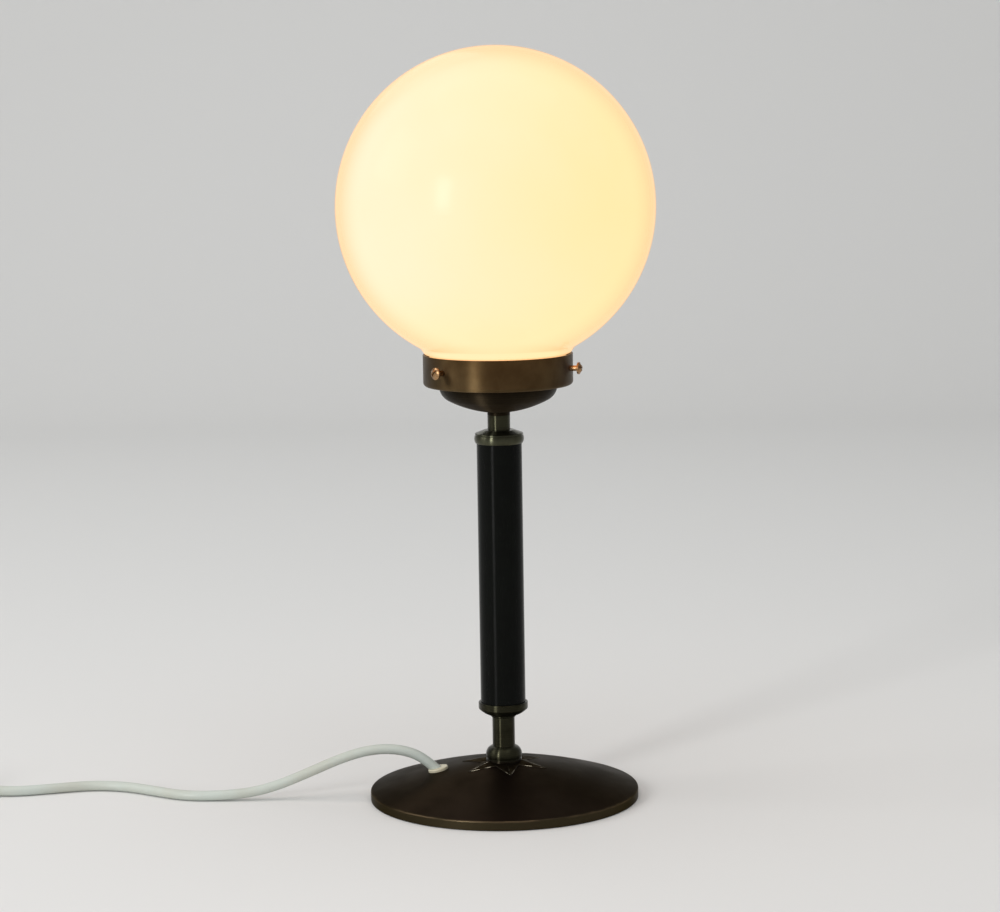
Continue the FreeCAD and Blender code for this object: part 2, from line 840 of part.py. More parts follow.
def make_globe():
    wall = size.globe_wall
    neck = size.globe_neck_radius
    neck_bottom = ledge_height + size.gallery_sheet + size.moving_gap
    shoulder_z = ring_top + size.moving_gap
    outer = size.globe_radius
    inner = outer - wall
    meeting = size.globe_meeting_radius
    meeting_z = globe_centre - root(outer * outer - meeting * meeting)
    lip_round = 1.2
    inside_corner_z = shoulder_z + 2.0
    inside_meeting = meeting - wall * 1.6
    inside_meeting_z = globe_centre - root(inner * inner - inside_meeting * inside_meeting)
    corners = [
        (neck - wall, neck_bottom),
        (neck, neck_bottom),
        (neck, shoulder_z),
        (size.globe_shoulder_radius, shoulder_z),
        (meeting, meeting_z, outer),
        (outer, globe_centre, outer),
        (0, globe_centre + outer),
        (0, globe_centre + inner, -inner),
        (inner, globe_centre, -inner),
        (inside_meeting, inside_meeting_z),
        (neck - wall, inside_corner_z),
    ]
    rounds = [
        (size.globe_shoulder_radius, shoulder_z, 1.6),
        (meeting, meeting_z, 5),
        (neck, shoulder_z, lip_round),
        (inside_meeting, inside_meeting_z, 4),
        (neck - wall, inside_corner_z, 3),
        (neck - wall, neck_bottom, lip_round),
        (neck, neck_bottom, lip_round),
    ]
    keep("globe", lathe("globe", corners, rounds))


make_globe()

# Lamp holder

insert_bottom = holder_bottom + size.holder_seat
insert_top = insert_bottom + size.insert_height
skirt_bottom = holder_bottom + size.holder_cap_height
skirt_top = skirt_bottom + size.holder_skirt_height
TERMINAL_OFFSET = 6.5


def make_holder():
    radius = size.holder_radius
    inner = radius - size.holder_wall
    hub_radius, hub_height = 8.5, 5
    seat_width, seat_height = 2, 3.5
    cap_corners = [
        (bore, holder_bottom),
        (hub_radius, holder_bottom),
        (hub_radius, holder_bottom + hub_height),
        (hub_radius + 3, holder_bottom + hub_height + 1.5, 14),
        (radius, holder_bottom + 15),
        (radius, skirt_bottom),
        (inner, skirt_bottom),
        (inner, insert_bottom),
        (inner - seat_width, insert_bottom),
        (inner - seat_width, insert_bottom - seat_height),
        (hub_radius + 0.5, tube_top),
        (bore, tube_top),
    ]
    keep("holder_cap", lathe("holder_cap", cap_corners))
    opening = size.shell_radius + 0.9
    lip_bottom = skirt_top - 2.5
    skirt_corners = [
        (inner, skirt_bottom),
        (radius, skirt_bottom),
        (radius, skirt_top),
        (opening, skirt_top),
        (opening, lip_bottom),
        (inner, lip_bottom),
    ]
    keep("holder_skirt", lathe("holder_skirt", skirt_corners, [(radius, skirt_top, 1.5)]))
    ceramic = tube_piece("insert_blank", 1.5, inner - 0.1, insert_bottom, insert_top)
    terminal_radius, terminal_height, play = 2.5, 3.5, 0.1
    wells = [rod(f"terminal_well_{side}", terminal_radius + play, terminal_height + 0.5,
                 0, side * TERMINAL_OFFSET, insert_bottom - 0.5) for side in (1, -1)]
    keep("holder_insert", cut("holder_insert", ceramic, wells))
    terminals = [rod(f"terminal_{side}", terminal_radius, terminal_height, 0, side * TERMINAL_OFFSET,
                     insert_bottom) for side in (1, -1)]
    keep("holder_terminals", grouped("holder_terminals", terminals))
    shell = size.shell_radius
    outer = shell + size.shell_wall
    top = insert_top + size.shell_height
    keep("thread_shell", tube_piece("thread_shell", shell, outer, insert_top, top))
    contact_corners = [
        (0, insert_top),
        (4.5, insert_top),
        (4.5, insert_top + 0.6),
        (2.4, insert_top + size.contact_height - 0.4),
        (1.6, insert_top + size.contact_height),
        (0, insert_top + size.contact_height),
    ]
    keep("centre_contact", lathe("centre_contact", contact_corners))


make_holder()

# Bulb: pear-shaped glass in a screw cap, standing on the centre contact

bulb_bottom = insert_top + size.contact_height + size.moving_gap
cap_start = bulb_bottom + 4.5
THREAD_RIDGES = 5
THREAD_PITCH = 3.6
cap_end = cap_start + 22.4
bulb_top = bulb_bottom + size.bulb_length
bulb_centre = bulb_top - size.bulb_radius
stem_base = cap_start + 4
stem_end = stem_base + 34


def make_bulb_cap():
    """Screw cap with rounded ridges, open above."""
    crest = size.bulb_cap_radius
    root_radius = crest - 0.9
    inner = crest - 1.3
    hole, sheet_metal = 9.5, 0.5
    corners = [(hole, cap_start), (root_radius, cap_start)]
    for ridge in range(THREAD_RIDGES):
        foot = cap_start + 0.3 + ridge * THREAD_PITCH
        corners.append((root_radius, foot))
        corners.append((crest - 0.2, foot + 0.8))
        corners.append((crest, foot + 1.8))
        corners.append((crest - 0.2, foot + 2.8))
    corners += [
        (crest - 0.7, cap_end - THREAD_PITCH),
        (crest, cap_end),
        (crest - 0.4, cap_end),
        (inner, cap_end - THREAD_PITCH),
        (inner, cap_start + sheet_metal),
        (hole, cap_start + sheet_metal),
    ]
    keep("bulb_cap", lathe("bulb_cap", corners))


def make_bulb():
    radius = size.bulb_radius
    wall = size.bulb_wall
    neck = size.bulb_cap_radius - 1.5
    low = cap_start + 2
    waist = cap_end + 3
    join = 24.5
    join_z = bulb_centre - root(radius * radius - join * join)
    inner_join_z = bulb_centre - root((radius - wall) * (radius - wall) - (join - wall) * (join - wall))
    corners = [
        (neck - wall, low),
        (neck, low),
        (neck, waist, -46),
        (join, join_z, radius),
        (radius, bulb_centre, radius),
        (0, bulb_top),
        (0, bulb_top - wall, -(radius - wall)),
        (radius - wall, bulb_centre, -(radius - wall)),
        (join - wall, inner_join_z, 46),
        (neck - wall, waist),
    ]
    keep("bulb_glass", lathe("bulb_glass", corners))
    glass_foot = [
        (3.2, cap_start + 0.2),
        (9.4, cap_start + 0.2),
        (5, bulb_bottom + 1.2),
        (3.2, bulb_bottom + 1.2),
    ]
    keep("bulb_insulator", lathe("bulb_insulator", glass_foot[::-1]))
    button = [
        (0, bulb_bottom),
        (2.5, bulb_bottom),
        (4.6, bulb_bottom + 0.6),
        (4.6, bulb_bottom + 1.2),
        (3.2, bulb_bottom + 1.2),
        (3.2, bulb_bottom + 3),
        (0, bulb_bottom + 3),
    ]
    keep("bulb_contact", lathe("bulb_contact", button))
    flare = neck - wall - 0.3
    mount = [
        (0, low - 1),
        (neck, low - 1),
        (neck, low),
        (flare, low),
        (3.2, stem_base + 14),
        (2.2, stem_end),
        (0, stem_end),
    ]
    keep("bulb_stem", lathe("bulb_stem", mount))


make_bulb_cap()
make_bulb()


# Cords and wires: straight runs joined by tangent arcs


def corner_arcs(points):
    """The arc at each inner point: radius, and the two points where it leaves the runs."""
    arcs = []
    for before, corner, after in zip(points, points[1:], points[2:]):
        back = before - corner
        ahead = after - corner
        shorter = min(back.Length, ahead.Length)
        turn = math.pi - back.getAngle(ahead)
        reach = 0.45 * shorter
        radius = reach / math.tan(turn / 2)
        start = corner + back.normalize() * reach
        end = corner + ahead.normalize() * reach
        arcs.append((radius, start, corner, end, math.degrees(turn)))
    return arcs


def round_path(points):
    edges = []
    last = points[0]
    for _, start, corner, end, _ in corner_arcs(points):
        edges.append(Part.LineSegment(last, start).toShape())
        half = (start + end) * 0.5
        legs = (corner - start).Length
        weight = (end - start).Length / 2 / legs
        middle = (half + corner * weight) * (1 / (1 + weight))
        edges.append(Part.Arc(start, middle, end).toShape())
        last = end
    edges.append(Part.LineSegment(last, points[-1]).toShape())
    return Part.Wire(edges)


def swept(wire, radius):
    """A round tube along a path that starts straight."""
    first = wire.Edges[0]
    start = first.valueAt(first.FirstParameter)
    ring = Part.Circle(start, first.tangentAt(first.FirstParameter), radius)
    return wire.makePipeShell([Part.Wire(ring.toShape())], True, False)


def tube(label, points, diameter):
    """A cord, cable or wire along a route of points, with its bends printed and its volume compared."""
    radius = diameter.value / 2
    wire = round_path(points)
    shape = swept(wire, radius)
    tight = min((arc[0] for arc in corner_arcs(points)), default=0)
    expected = math.pi * radius * radius * wire.Length
    bends = " ".join(f"{arc[0]:.0f}({arc[4]:.0f})" for arc in corner_arcs(points))
    print(f"{label}: length {wire.Length:.1f} mm, least radius {tight:.1f} mm, "
          f"volume / (section x length) {shape.Volume / expected:.4f}, radii (turns) {bends}")
    feature = doc.addObject("Part::Feature", label)
    feature.Shape = shape
    keep(label, feature)
    return wire.Length


floor_z = cord_radius + size.floor_clearance.value
switch_centre_x = -383.0
switch_y = 19.4
switch_half = size.switch_length.value / 2
cord_entry_z = size.switch_base_height.value

# The first stretch follows the photograph: up out of the bush, over the rim, down to the floor and
# off to the side in one shallow wave, as far as the inline switch just past the view.
SEEN_ROUTE = [
    (-59.0, 0, 29.4),
    (-68.6, 0, 31.7),
    (-79.6, 0, 32.1),
    (-92.0, 0, 30.2),
    (-107.1, 0, 25.2),
    (-125.5, 0, 17.2),
    (-145.9, -0.2, 9.0),
    (-163.5, -0.8, 4.8),
    (-184.0, -1.4, 3.4),
    (-206.0, 0.8, 3.3),
    (-226.0, 14.2, 3.3),
    (-246.0, 26.8, 3.3),
    (-268.0, 31.0, 3.3),
    (-290.0, 25.2, 3.3),
    (-312.0, 18.8, 3.3),
    (-329.0, 18.9, 3.7),
    (-343.0, 19.4, 7.0),
]


def seen_route():
    points = [cord_exit, cord_exit + cord_out * 8.8] + [Vector(*point) for point in SEEN_ROUTE]
    points.append(Vector(switch_centre_x + switch_half, switch_y, cord_entry_z))
    return points


# Coil: the cord winds in on the floor, climbs a layer in half a turn, and winds out on top of itself

coil_centre = Vector(-460.0, -26.8, 0)
COIL_START = math.pi / 2


def coil_frame(angle):
    """Point and direction of the coil's centreline after winding through this angle."""
    pitch = size.coil_pitch.value / (2 * math.pi)
    inward = 2 * math.pi * size.coil_turns_per_layer.value
    outer = size.coil_outer_radius.value
    inner = outer - pitch * inward
    layer = size.coil_pitch.value
    climb = math.pi
    past = angle - inward
    if past <= 0:
        radius, slope, z, rise = outer - pitch * angle, -pitch, 0.0, 0.0
    elif past < climb:
        radius = inner - pitch * past * (1 - past / climb)
        slope = -pitch * (1 - 2 * past / climb)
        z = layer * (1 - math.cos(past)) / 2
        rise = layer * math.sin(past) / 2
    else:
        radius, slope, z, rise = inner + pitch * (past - climb), pitch, layer, 0.0
    turn = COIL_START + angle
    out = Vector(math.cos(turn), math.sin(turn), 0)
    around = Vector(-math.sin(turn), math.cos(turn), 0)
    point = coil_centre + out * radius + UP * (floor_z + z)
    direction = (out * slope + around * radius + UP * rise).normalize()
    return point, direction


def arc_from_legs(start, corner, end):
    weight = (end - start).Length / 2 / (corner - start).Length
    middle = ((start + end) * 0.5 + corner * weight) * (1 / (1 + weight))
    return Part.Arc(start, middle, end).toShape()


def biarc(first, first_way, last, last_way):
    """Two arcs that meet smoothly and leave and arrive in the given directions."""
    across = last - first
    both = first_way + last_way
    spread = 2 * (1 - first_way.dot(last_way))
    along = across.dot(both)
    leg = (-along + math.sqrt(along * along + spread * across.dot(across))) / spread
    first_corner = first + first_way * leg
    last_corner = last - last_way * leg
    joint = (first_corner + last_corner) * 0.5
    return [arc_from_legs(first, first_corner, joint), arc_from_legs(joint, last_corner, last)]


coil_total = 2 * (2 * math.pi * size.coil_turns_per_layer.value) + math.pi


def coil_ends():
    """The coil begins and ends with one diameter of straight cord."""
    first, first_way = coil_frame(0)
    last, last_way = coil_frame(coil_total)
    straight = size.cord_diameter.value
    return first - first_way * straight, first_way, last + last_way * straight, last_way


def make_coil():
    radius = cord_radius
    quarter = math.pi / 2
    start, _, end, _ = coil_ends()
    edges = [Part.LineSegment(start, coil_frame(0)[0]).toShape()]
    for step in range(round(coil_total / quarter)):
        here = coil_frame(step * quarter)
        there = coil_frame((step + 1) * quarter)
        edges += biarc(here[0], here[1], there[0], there[1])
    edges.append(Part.LineSegment(coil_frame(coil_total)[0], end).toShape())
    wire = Part.Wire(edges)
    shape = swept(wire, radius)
    feature = doc.addObject("Part::Feature", "cord_coil")
    feature.Shape = shape
    keep("cord_coil", feature)
    expected = math.pi * radius * radius * wire.Length
    print(f"cord_coil: length {wire.Length:.1f} mm, least gap to itself {least_self_gap(wire):.3f} mm, "
          f"volume / (section x length) {shape.Volume / expected:.4f}")
    return wire.Length


def least_self_gap(wire):
    """Smallest clear distance between stretches of the tube that are not neighbours along it."""
    spacing = 1.0
    apart = 8 * size.cord_diameter.value
    points = wire.discretize(Distance=spacing)
    skip = int(apart / spacing)
    least = min((points[here] - points[there]).Length
                for here in range(len(points))
                for there in range(here + skip, len(points)))
    return least - size.cord_diameter.value


plug_z = size.plug_height.value / 2
relief_tail_x = -412.0
plug_y = -74.3


def coil_lead_route():
    start, way, _, _ = coil_ends()
    return [
        Vector(switch_centre_x - switch_half, switch_y, cord_entry_z),
        Vector(-422.5, switch_y, cord_entry_z),
        start - way * 15,
        start,
    ]


def plug_lead_route():
    _, _, end, way = coil_ends()
    return [
        end,
        end + way * 11,
        Vector(-424.0, plug_y, plug_z),
        Vector(relief_tail_x, plug_y, plug_z),
    ]


seen_length = tube("cord_to_switch", seen_route(), size.cord_diameter)
stored_length = tube("cord_to_coil", coil_lead_route(), size.cord_diameter)
stored_length += make_coil()
stored_length += tube("cord_to_plug", plug_lead_route(), size.cord_diameter)
print(f"cord from lamp to switch {seen_length:.1f} mm, from switch to plug {stored_length:.1f} mm")

# Inside the base: the cord's end, its clamp, and the two wires that go up the tube


def make_inner_leads():
    sheath_end = Vector(-21.0, 0, size.weight_underside.value + cord_radius)
    under_clamp = Vector(-30.8, 0, 9.0)
    tube("lead_in", [cord_exit, cord_exit - cord_out * 9, under_clamp, sheath_end], size.cord_diameter)
    ahead = (sheath_end - under_clamp).normalize()
    low_run, above_tube, below_terminal = 4.9, 0.5, 4.5
    for name, way in (("live_wire", 1), ("neutral_wire", -1)):
        aside = Vector(0, way * size.wire_spacing.value / 2, 0)
        terminal = Vector(0, way * TERMINAL_OFFSET, insert_bottom.value)
        points = [
            sheath_end + aside,
            sheath_end + aside + ahead * 6.5,
            Vector(-7, 0, low_run) + aside,
            Vector(0, 0, low_run) + aside,
            Vector(0, 0, tube_top.value + above_tube) + aside,
            terminal - UP * below_terminal,
            terminal,
        ]
        tube(name, points, size.wire_diameter)


def make_cord_clamp():
    """Strap across the underside of the cord, screwed to the weight."""
    strap_length, strap_width, strap_thickness = 8, 22, 1.0
    head_height, head_overhang, screw_length = 1.4, 1.3, 6.5
    strap_bottom = size.weight_underside - strap_thickness
    head_bottom = strap_bottom - head_height
    strap = block("strap_blank", strap_length, strap_width, strap_thickness, CLAMP_X, 0, strap_bottom)
    radius = size.clamp_screw_radius
    holes = []
    screws = []
    for side in (1, -1):
        y = side * CLAMP_SCREW_OFFSET
        holes.append(rod(f"strap_hole_{side}", radius + 0.1, 3, CLAMP_X, y, strap_bottom - 1))
        head = rod(f"clamp_head_{side}", radius + head_overhang, head_height, CLAMP_X, y, head_bottom)
        shank = rod(f"clamp_shank_{side}", radius, screw_length, CLAMP_X, y, head_bottom)
        screws.append(fused(f"clamp_screw_{side}", [head, shank]))
    keep("cord_clamp", cut("cord_clamp", strap, holes))
    keep("clamp_screws", grouped("clamp_screws", screws))


make_inner_leads()
make_cord_clamp()


def make_filament():
    """Bent support wire that carries the filament across the top of the glass mount."""
    sunk, wire_radius = 1, 0.35
    foot = stem_end.value - sunk
    half = [(1.4, 0), (7, 13), (4, 21)]
    points = [Vector(-x, 0, foot + z) for x, z in half]
    points += [Vector(x, 0, foot + z) for x, z in reversed(half)]
    shape = swept(round_path(points), wire_radius)
    feature = doc.addObject("Part::Feature", "bulb_filament")
    mount = nodes["bulb_stem"]
    doc.recompute()
    feature.Shape = shape.cut(mount.Shape)
    keep("bulb_filament", feature)


make_filament()

# Inline switch: two shells on the floor with the cord through them and a rocker in the top

switch_top_z = size.switch_base_height + size.switch_top_height


def switch_outline():
    """Rounded oblong with drawn-in ends."""
    long = size.switch_length / 2
    wide = size.switch_width / 2
    narrow = wide - 5.5
    shoulder = long - 13
    return [
        (-long, -narrow), (-shoulder, -wide), (shoulder, -wide), (long, -narrow),
        (long, narrow), (shoulder, wide), (-shoulder, wide), (-long, narrow),
    ]


def switch_blank(name, bottom, height, face_z, amount, seam_z):
    """One shell, rounded at its outer face and chamfered where it meets the other, to show a seam."""
    blank = slab(name, switch_outline(), height)
    dress(blank, "Fillet", upright, 2.5)
    dress(blank, "Fillet", level_at(face_z), amount)
    dress(blank, "Chamfer", level_at(seam_z), size.switch_seam)
    return move(blank, switch_centre_x, switch_y, bottom)


def cord_channels(name):
    """Clearance for the two cord ends through the solid ends of the switch."""
    room = (size.switch_length - size.switch_chamber_length) / 2 + 1
    reach = size.switch_chamber_length / 2 - 0.5
    radius = size.cord_diameter / 2 + 0.05
    z = size.switch_base_height
    return [
        rod(name + "_right", radius, room, reach + switch_centre_x, switch_y, z, TURN_X),
        rod(name + "_left", radius, room, -(reach + room) + switch_centre_x, switch_y, z, TURN_X),
    ]


SCREW_OFFSET = (24.5, 8.0)


def make_switch():
    skin = size.switch_skin
    part_line = size.switch_base_height
    long = size.switch_chamber_length
    wide = size.switch_chamber_width
    base_blank = switch_blank("switch_base_blank", 0, part_line, 0, 1.2, part_line)
    chamber = block("base_chamber", long, wide, part_line, switch_centre_x, switch_y, skin)
    screw_holes = []
    screws = []
    for side in (1, -1):
        x = switch_centre_x + side * SCREW_OFFSET[0]
        y = switch_y - side * SCREW_OFFSET[1]
        screw_holes.append(rod(f"switch_bore_{side}", 1.25, 12, x, y, -1))
        screw_holes.append(rod(f"switch_well_{side}", 2.5, 2.8, x, y, -1))
        head = rod(f"switch_head_{side}", 2.3, 1.2, x, y, 0.6)
        shank = rod(f"switch_shank_{side}", 1.2, 9, x, y, 0.6)
        screws.append(fused(f"switch_screw_{side}", [head, shank]))
    tools = [chamber] + screw_holes + cord_channels("base_channel")
    keep("switch_base", cut("switch_base", base_blank, tools))
    keep("switch_screws", grouped("switch_screws", screws))

    height = size.switch_top_height
    top_blank = switch_blank("switch_top_blank", part_line, height, height, 2.6, 0)
    hollow = block("top_chamber", long, wide, height - skin, switch_centre_x, switch_y, part_line)
    window = block("rocker_window", size.rocker_length + 1.8, size.rocker_width + 0.8, 8,
                   switch_centre_x, switch_y, switch_top_z - 4)
    pin_hole = rod("pivot_hole", size.pivot_radius + 0.05, wide + 3, switch_centre_x,
                   -(wide + 3) / 2 + switch_y, size.pivot_height, TURN_Y)
    top_holes = [rod(f"top_bore_{side}", 1.25, 5, switch_centre_x + side * SCREW_OFFSET[0],
                     switch_y - side * SCREW_OFFSET[1], 5) for side in (1, -1)]
    keep("switch_top", cut("switch_top", top_blank,
                           [hollow, window, pin_hole] + top_holes + cord_channels("top_channel")))

    pin = rod("switch_pivot", size.pivot_radius, wide + 2.6, switch_centre_x,
              -(wide + 2.6) / 2 + switch_y, size.pivot_height, TURN_Y)
    keep("switch_pivot", pin)
    terminals = [block(f"switch_terminal_{side}", 7, 12, 4.2, switch_centre_x + side * 15.5, switch_y, skin)
                 for side in (1, -1)]
    cleared = [cut(f"switch_contact_{side}", terminals[index],
                   [rod(f"terminal_room_{side}", size.cord_diameter / 2 + 0.05, 9,
                        switch_centre_x + side * 15.5 - 4.5, switch_y, part_line, TURN_X)])
               for index, side in enumerate((1, -1))]
    keep("switch_contacts", grouped("switch_contacts", cleared))
    stub = (size.switch_length - size.switch_chamber_length) / 2 + 7
    left_face = switch_centre_x - size.switch_length / 2
    right_face = switch_centre_x + size.switch_length / 2
    stubs = [rod(f"cord_stub_{side}", size.cord_diameter / 2, stub, x, switch_y, part_line, TURN_X)
             for side, x in (("right", right_face - stub), ("left", left_face))]
    keep("switch_cord_ends", grouped("switch_cord_ends", stubs))


def make_rocker():
    """Shallow V-shaped rocker on a pivot pin, tilted to its ON side."""
    half = size.rocker_length / 2
    corners = [
        (-half + 5, -3.2), (half - 5, -3.2), (half, 1.2), (half, 5.4),
        (0, 4.2), (-half, 5.4), (-half, 1.2),
    ]
    rocker = slab("rocker_blank", corners, size.rocker_width, "XZ_Plane")
    move(rocker, 0, size.rocker_width / 2, 0)
    hole = rod("rocker_hole", size.pivot_radius + 0.06, size.rocker_width + 2,
               0, -(size.rocker_width + 2) / 2, 0, TURN_Y)
    piece = cut("switch_rocker", rocker, [hole])
    tilt = FreeCAD.Rotation(Vector(0, 1, 0), size.rocker_tilt.value)
    move(piece, switch_centre_x, switch_y, size.pivot_height, tilt)
    keep("switch_rocker", piece)


make_switch()
make_rocker()

# Plug: flat moulded body, ribbed strain relief, two round pins with insulated roots

plug_tail_x = relief_tail_x + size.relief_length.value
plug_face_x = plug_tail_x + size.plug_length.value


def make_plug():
    wide = size.plug_width / 2
    narrow = size.plug_tail_width / 2
    length = size.plug_length
    shoulder = length - 21
    corners = [
        (0, -narrow), (shoulder, -wide), (length, -wide),
        (length, wide), (shoulder, wide), (0, narrow),
    ]
    body = slab("plug_body", corners, size.plug_height)
    dress(body, "Fillet", upright, 3.0)
    dress(body, "Chamfer", level_at(size.plug_height), 2.4)
    dress(body, "Chamfer", level_at(0), 2.4)
    move(body, plug_tail_x, plug_y, 0)
    keep("plug_body", body)

    ribs = 6
    step = size.relief_length / ribs
    tail = size.cord_diameter / 2 + 0.75
    taper = (size.relief_radius - tail) / ribs
    corners = [(0, 0), (0, tail)]
    for rib in range(ribs):
        start = step * rib
        edge = tail + taper * rib
        corners += [
            (start + step * 0.55, edge + taper * 0.55),
            (start + step * 0.65, edge - 0.6),
            (start + step * 0.9, edge - 0.6),
            (start + step, edge + taper),
        ]
    corners.append((size.relief_length, 0))
    relief = lathe("plug_relief", corners[::-1], axis="H_Axis")
    move(relief, relief_tail_x, plug_y, plug_z)
    keep("plug_relief", relief)

    pins = []
    sleeves = []
    core = size.pin_radius - 0.5
    for side in (1, -1):
        y = size.pin_spacing / 2 * side + plug_y
        corners = [
            (0, 0),
            (size.pin_length, 0),
            (size.pin_length, size.pin_radius - 0.9),
            (size.pin_length - 1.2, size.pin_radius),
            (size.pin_sleeve_length, size.pin_radius),
            (size.pin_sleeve_length, core),
            (0, core),
        ]
        pins.append(move(lathe(f"plug_pin_{side}", corners, axis="H_Axis"), plug_face_x, y, plug_z))
        corners = [(0, core), (size.pin_sleeve_length, core),
                   (size.pin_sleeve_length, size.pin_radius - 0.1), (0, size.pin_radius - 0.1)]
        sleeves.append(move(lathe(f"pin_sleeve_{side}", corners, axis="H_Axis"), plug_face_x, y, plug_z))
    keep("plug_pins", grouped("plug_pins", pins))
    keep("pin_sleeves", grouped("pin_sleeves", sleeves))


make_plug()

# Check everything, then write each sub-part

doc.recompute()
broken = [thing.Label for thing in doc.Objects if {"Invalid", "Error"} & set(thing.State)]
if broken:
    raise RuntimeError(f"failed objects: {broken}")
for label, thing in nodes.items():
    if thing.Shape.isNull() or not thing.Shape.isValid() or not thing.Shape.Solids:
        raise RuntimeError(f"{label}: no valid solid")
    if any(solid.Volume <= 0 for solid in thing.Shape.Solids):
        raise RuntimeError(f"{label}: a solid is inside out")

os.makedirs("parts", exist_ok=True)
for label, thing in nodes.items():
    thing.Shape.exportStep(os.path.join("parts", f"{label}.step"))
    box = thing.Shape.BoundBox
    print(f"{label}: {len(thing.Shape.Solids)} solid(s), {thing.Shape.Volume / 1000:.2f} cm3, "
          f"z {box.ZMin:.1f} to {box.ZMax:.1f}")
print(f"{len(nodes)} sub-parts, cord leaves at ({cord_exit.x:.2f}, {cord_exit.y:.2f}, {cord_exit.z:.2f})")
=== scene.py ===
import json
import math

import bmesh
import bpy
from mathutils import Matrix, Vector

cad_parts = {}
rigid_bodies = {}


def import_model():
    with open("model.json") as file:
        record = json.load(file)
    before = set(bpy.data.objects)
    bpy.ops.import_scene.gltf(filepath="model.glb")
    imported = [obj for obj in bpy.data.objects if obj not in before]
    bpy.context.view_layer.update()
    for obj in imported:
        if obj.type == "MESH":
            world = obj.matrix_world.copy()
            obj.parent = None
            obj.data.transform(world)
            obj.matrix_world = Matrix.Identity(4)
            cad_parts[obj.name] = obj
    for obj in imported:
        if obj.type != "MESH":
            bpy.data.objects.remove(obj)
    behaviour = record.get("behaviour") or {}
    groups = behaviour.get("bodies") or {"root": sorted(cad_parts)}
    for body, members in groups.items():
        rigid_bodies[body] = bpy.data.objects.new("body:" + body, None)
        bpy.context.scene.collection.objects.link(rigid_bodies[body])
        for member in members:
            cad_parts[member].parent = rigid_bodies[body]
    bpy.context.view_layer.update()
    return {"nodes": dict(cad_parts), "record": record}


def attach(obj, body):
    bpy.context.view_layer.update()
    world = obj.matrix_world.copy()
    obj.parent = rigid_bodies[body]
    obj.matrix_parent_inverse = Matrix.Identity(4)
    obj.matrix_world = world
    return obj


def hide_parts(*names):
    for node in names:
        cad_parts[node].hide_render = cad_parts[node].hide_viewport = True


# Glass globe table lamp: finishes, cord and fine pieces, in metres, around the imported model.

for leftover in list(bpy.data.objects):
    bpy.data.objects.remove(leftover)
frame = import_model()
nodes = frame["nodes"]
MM = 0.001
scene = bpy.context.scene
scene.view_settings.view_transform = "Standard"

# Camera: where the photograph was taken from

PHOTO_WIDTH = 1000
FOCAL_PIXELS = 2818
SENSOR_WIDTH = 36.0
CAMERA_PLACE = Vector((0.0004, -1.759, 0.4591))
CAMERA_PITCH = 7.75
CAMERA_ROLL = 0.9
NEAREST_SEEN = 0.05


def make_camera():
    lens = bpy.data.cameras.new("camera")
    lens.sensor_width = SENSOR_WIDTH
    lens.lens = FOCAL_PIXELS / PHOTO_WIDTH * SENSOR_WIDTH
    lens.clip_start = NEAREST_SEEN
    camera = bpy.data.objects.new("camera", lens)
    scene.collection.objects.link(camera)
    tilt = Matrix.Rotation(math.radians(90 - CAMERA_PITCH), 4, "X")
    roll = Matrix.Rotation(math.radians(-CAMERA_ROLL), 4, "Z")
    camera.matrix_world = Matrix.Translation(CAMERA_PLACE) @ tilt @ roll
    scene.camera = camera


make_camera()

# Cord, in millimetres: up out of the base, over the floor to the switch, then a coil and the plug

CORD = 6.4
CORD_EXIT = Vector((-44.25, 0, 19.18))
CORD_ELEVATION = math.radians(42)
CORD_OUT = Vector((-math.cos(CORD_ELEVATION), 0, math.sin(CORD_ELEVATION)))
CORD_STRAIGHT = 8.8
SEEN_ROUTE = [
    (-59.0, 0, 29.4), (-68.6, 0, 31.7), (-79.6, 0, 32.1), (-92.0, 0, 30.2), (-107.1, 0, 25.2),
    (-125.5, 0, 17.2), (-145.9, -0.2, 9.0), (-163.5, -0.8, 4.8), (-184.0, -1.4, 3.4),
    (-206.0, 0.8, 3.3), (-226.0, 14.2, 3.3), (-246.0, 26.8, 3.3), (-268.0, 31.0, 3.3),
    (-290.0, 25.2, 3.3), (-312.0, 18.8, 3.3), (-329.0, 18.9, 3.7), (-343.0, 19.4, 7.0),
    (-352.0, 19.4, 7.0),
]
SWITCH_END = Vector((-414.0, 19.4, 7.0))
SWITCH_LEAD = Vector((-422.5, 19.4, 7.0))
COIL_CENTRE = Vector((-460.0, -26.8, 3.3))
COIL_OUTER = 46.0
COIL_PITCH = 7.0
COIL_TURNS = 3
POINTS_PER_TURN = 16
COIL_RUN_IN = 15
COIL_RUN_OUT = 11
PLUG_LEAD = Vector((-424.0, -74.3, 6.85))
PLUG_TAIL = Vector((-412.0, -74.3, 6.85))


def coil_point(angle):
    """Radius, rise and turn of the cord's middle, wound in, up a layer in half a turn, and out."""
    pitch = COIL_PITCH / (2 * math.pi)
    inward = 2 * math.pi * COIL_TURNS
    inner = COIL_OUTER - pitch * inward
    past = angle - inward
    if past <= 0:
        radius, rise = COIL_OUTER - pitch * angle, 0.0
    elif past < math.pi:
        radius = inner - pitch * past * (1 - past / math.pi)
        rise = COIL_PITCH * (1 - math.cos(past)) / 2
    else:
        radius, rise = inner + pitch * (past - math.pi), COIL_PITCH
    turn = math.pi / 2 + angle
    return radius, rise, turn


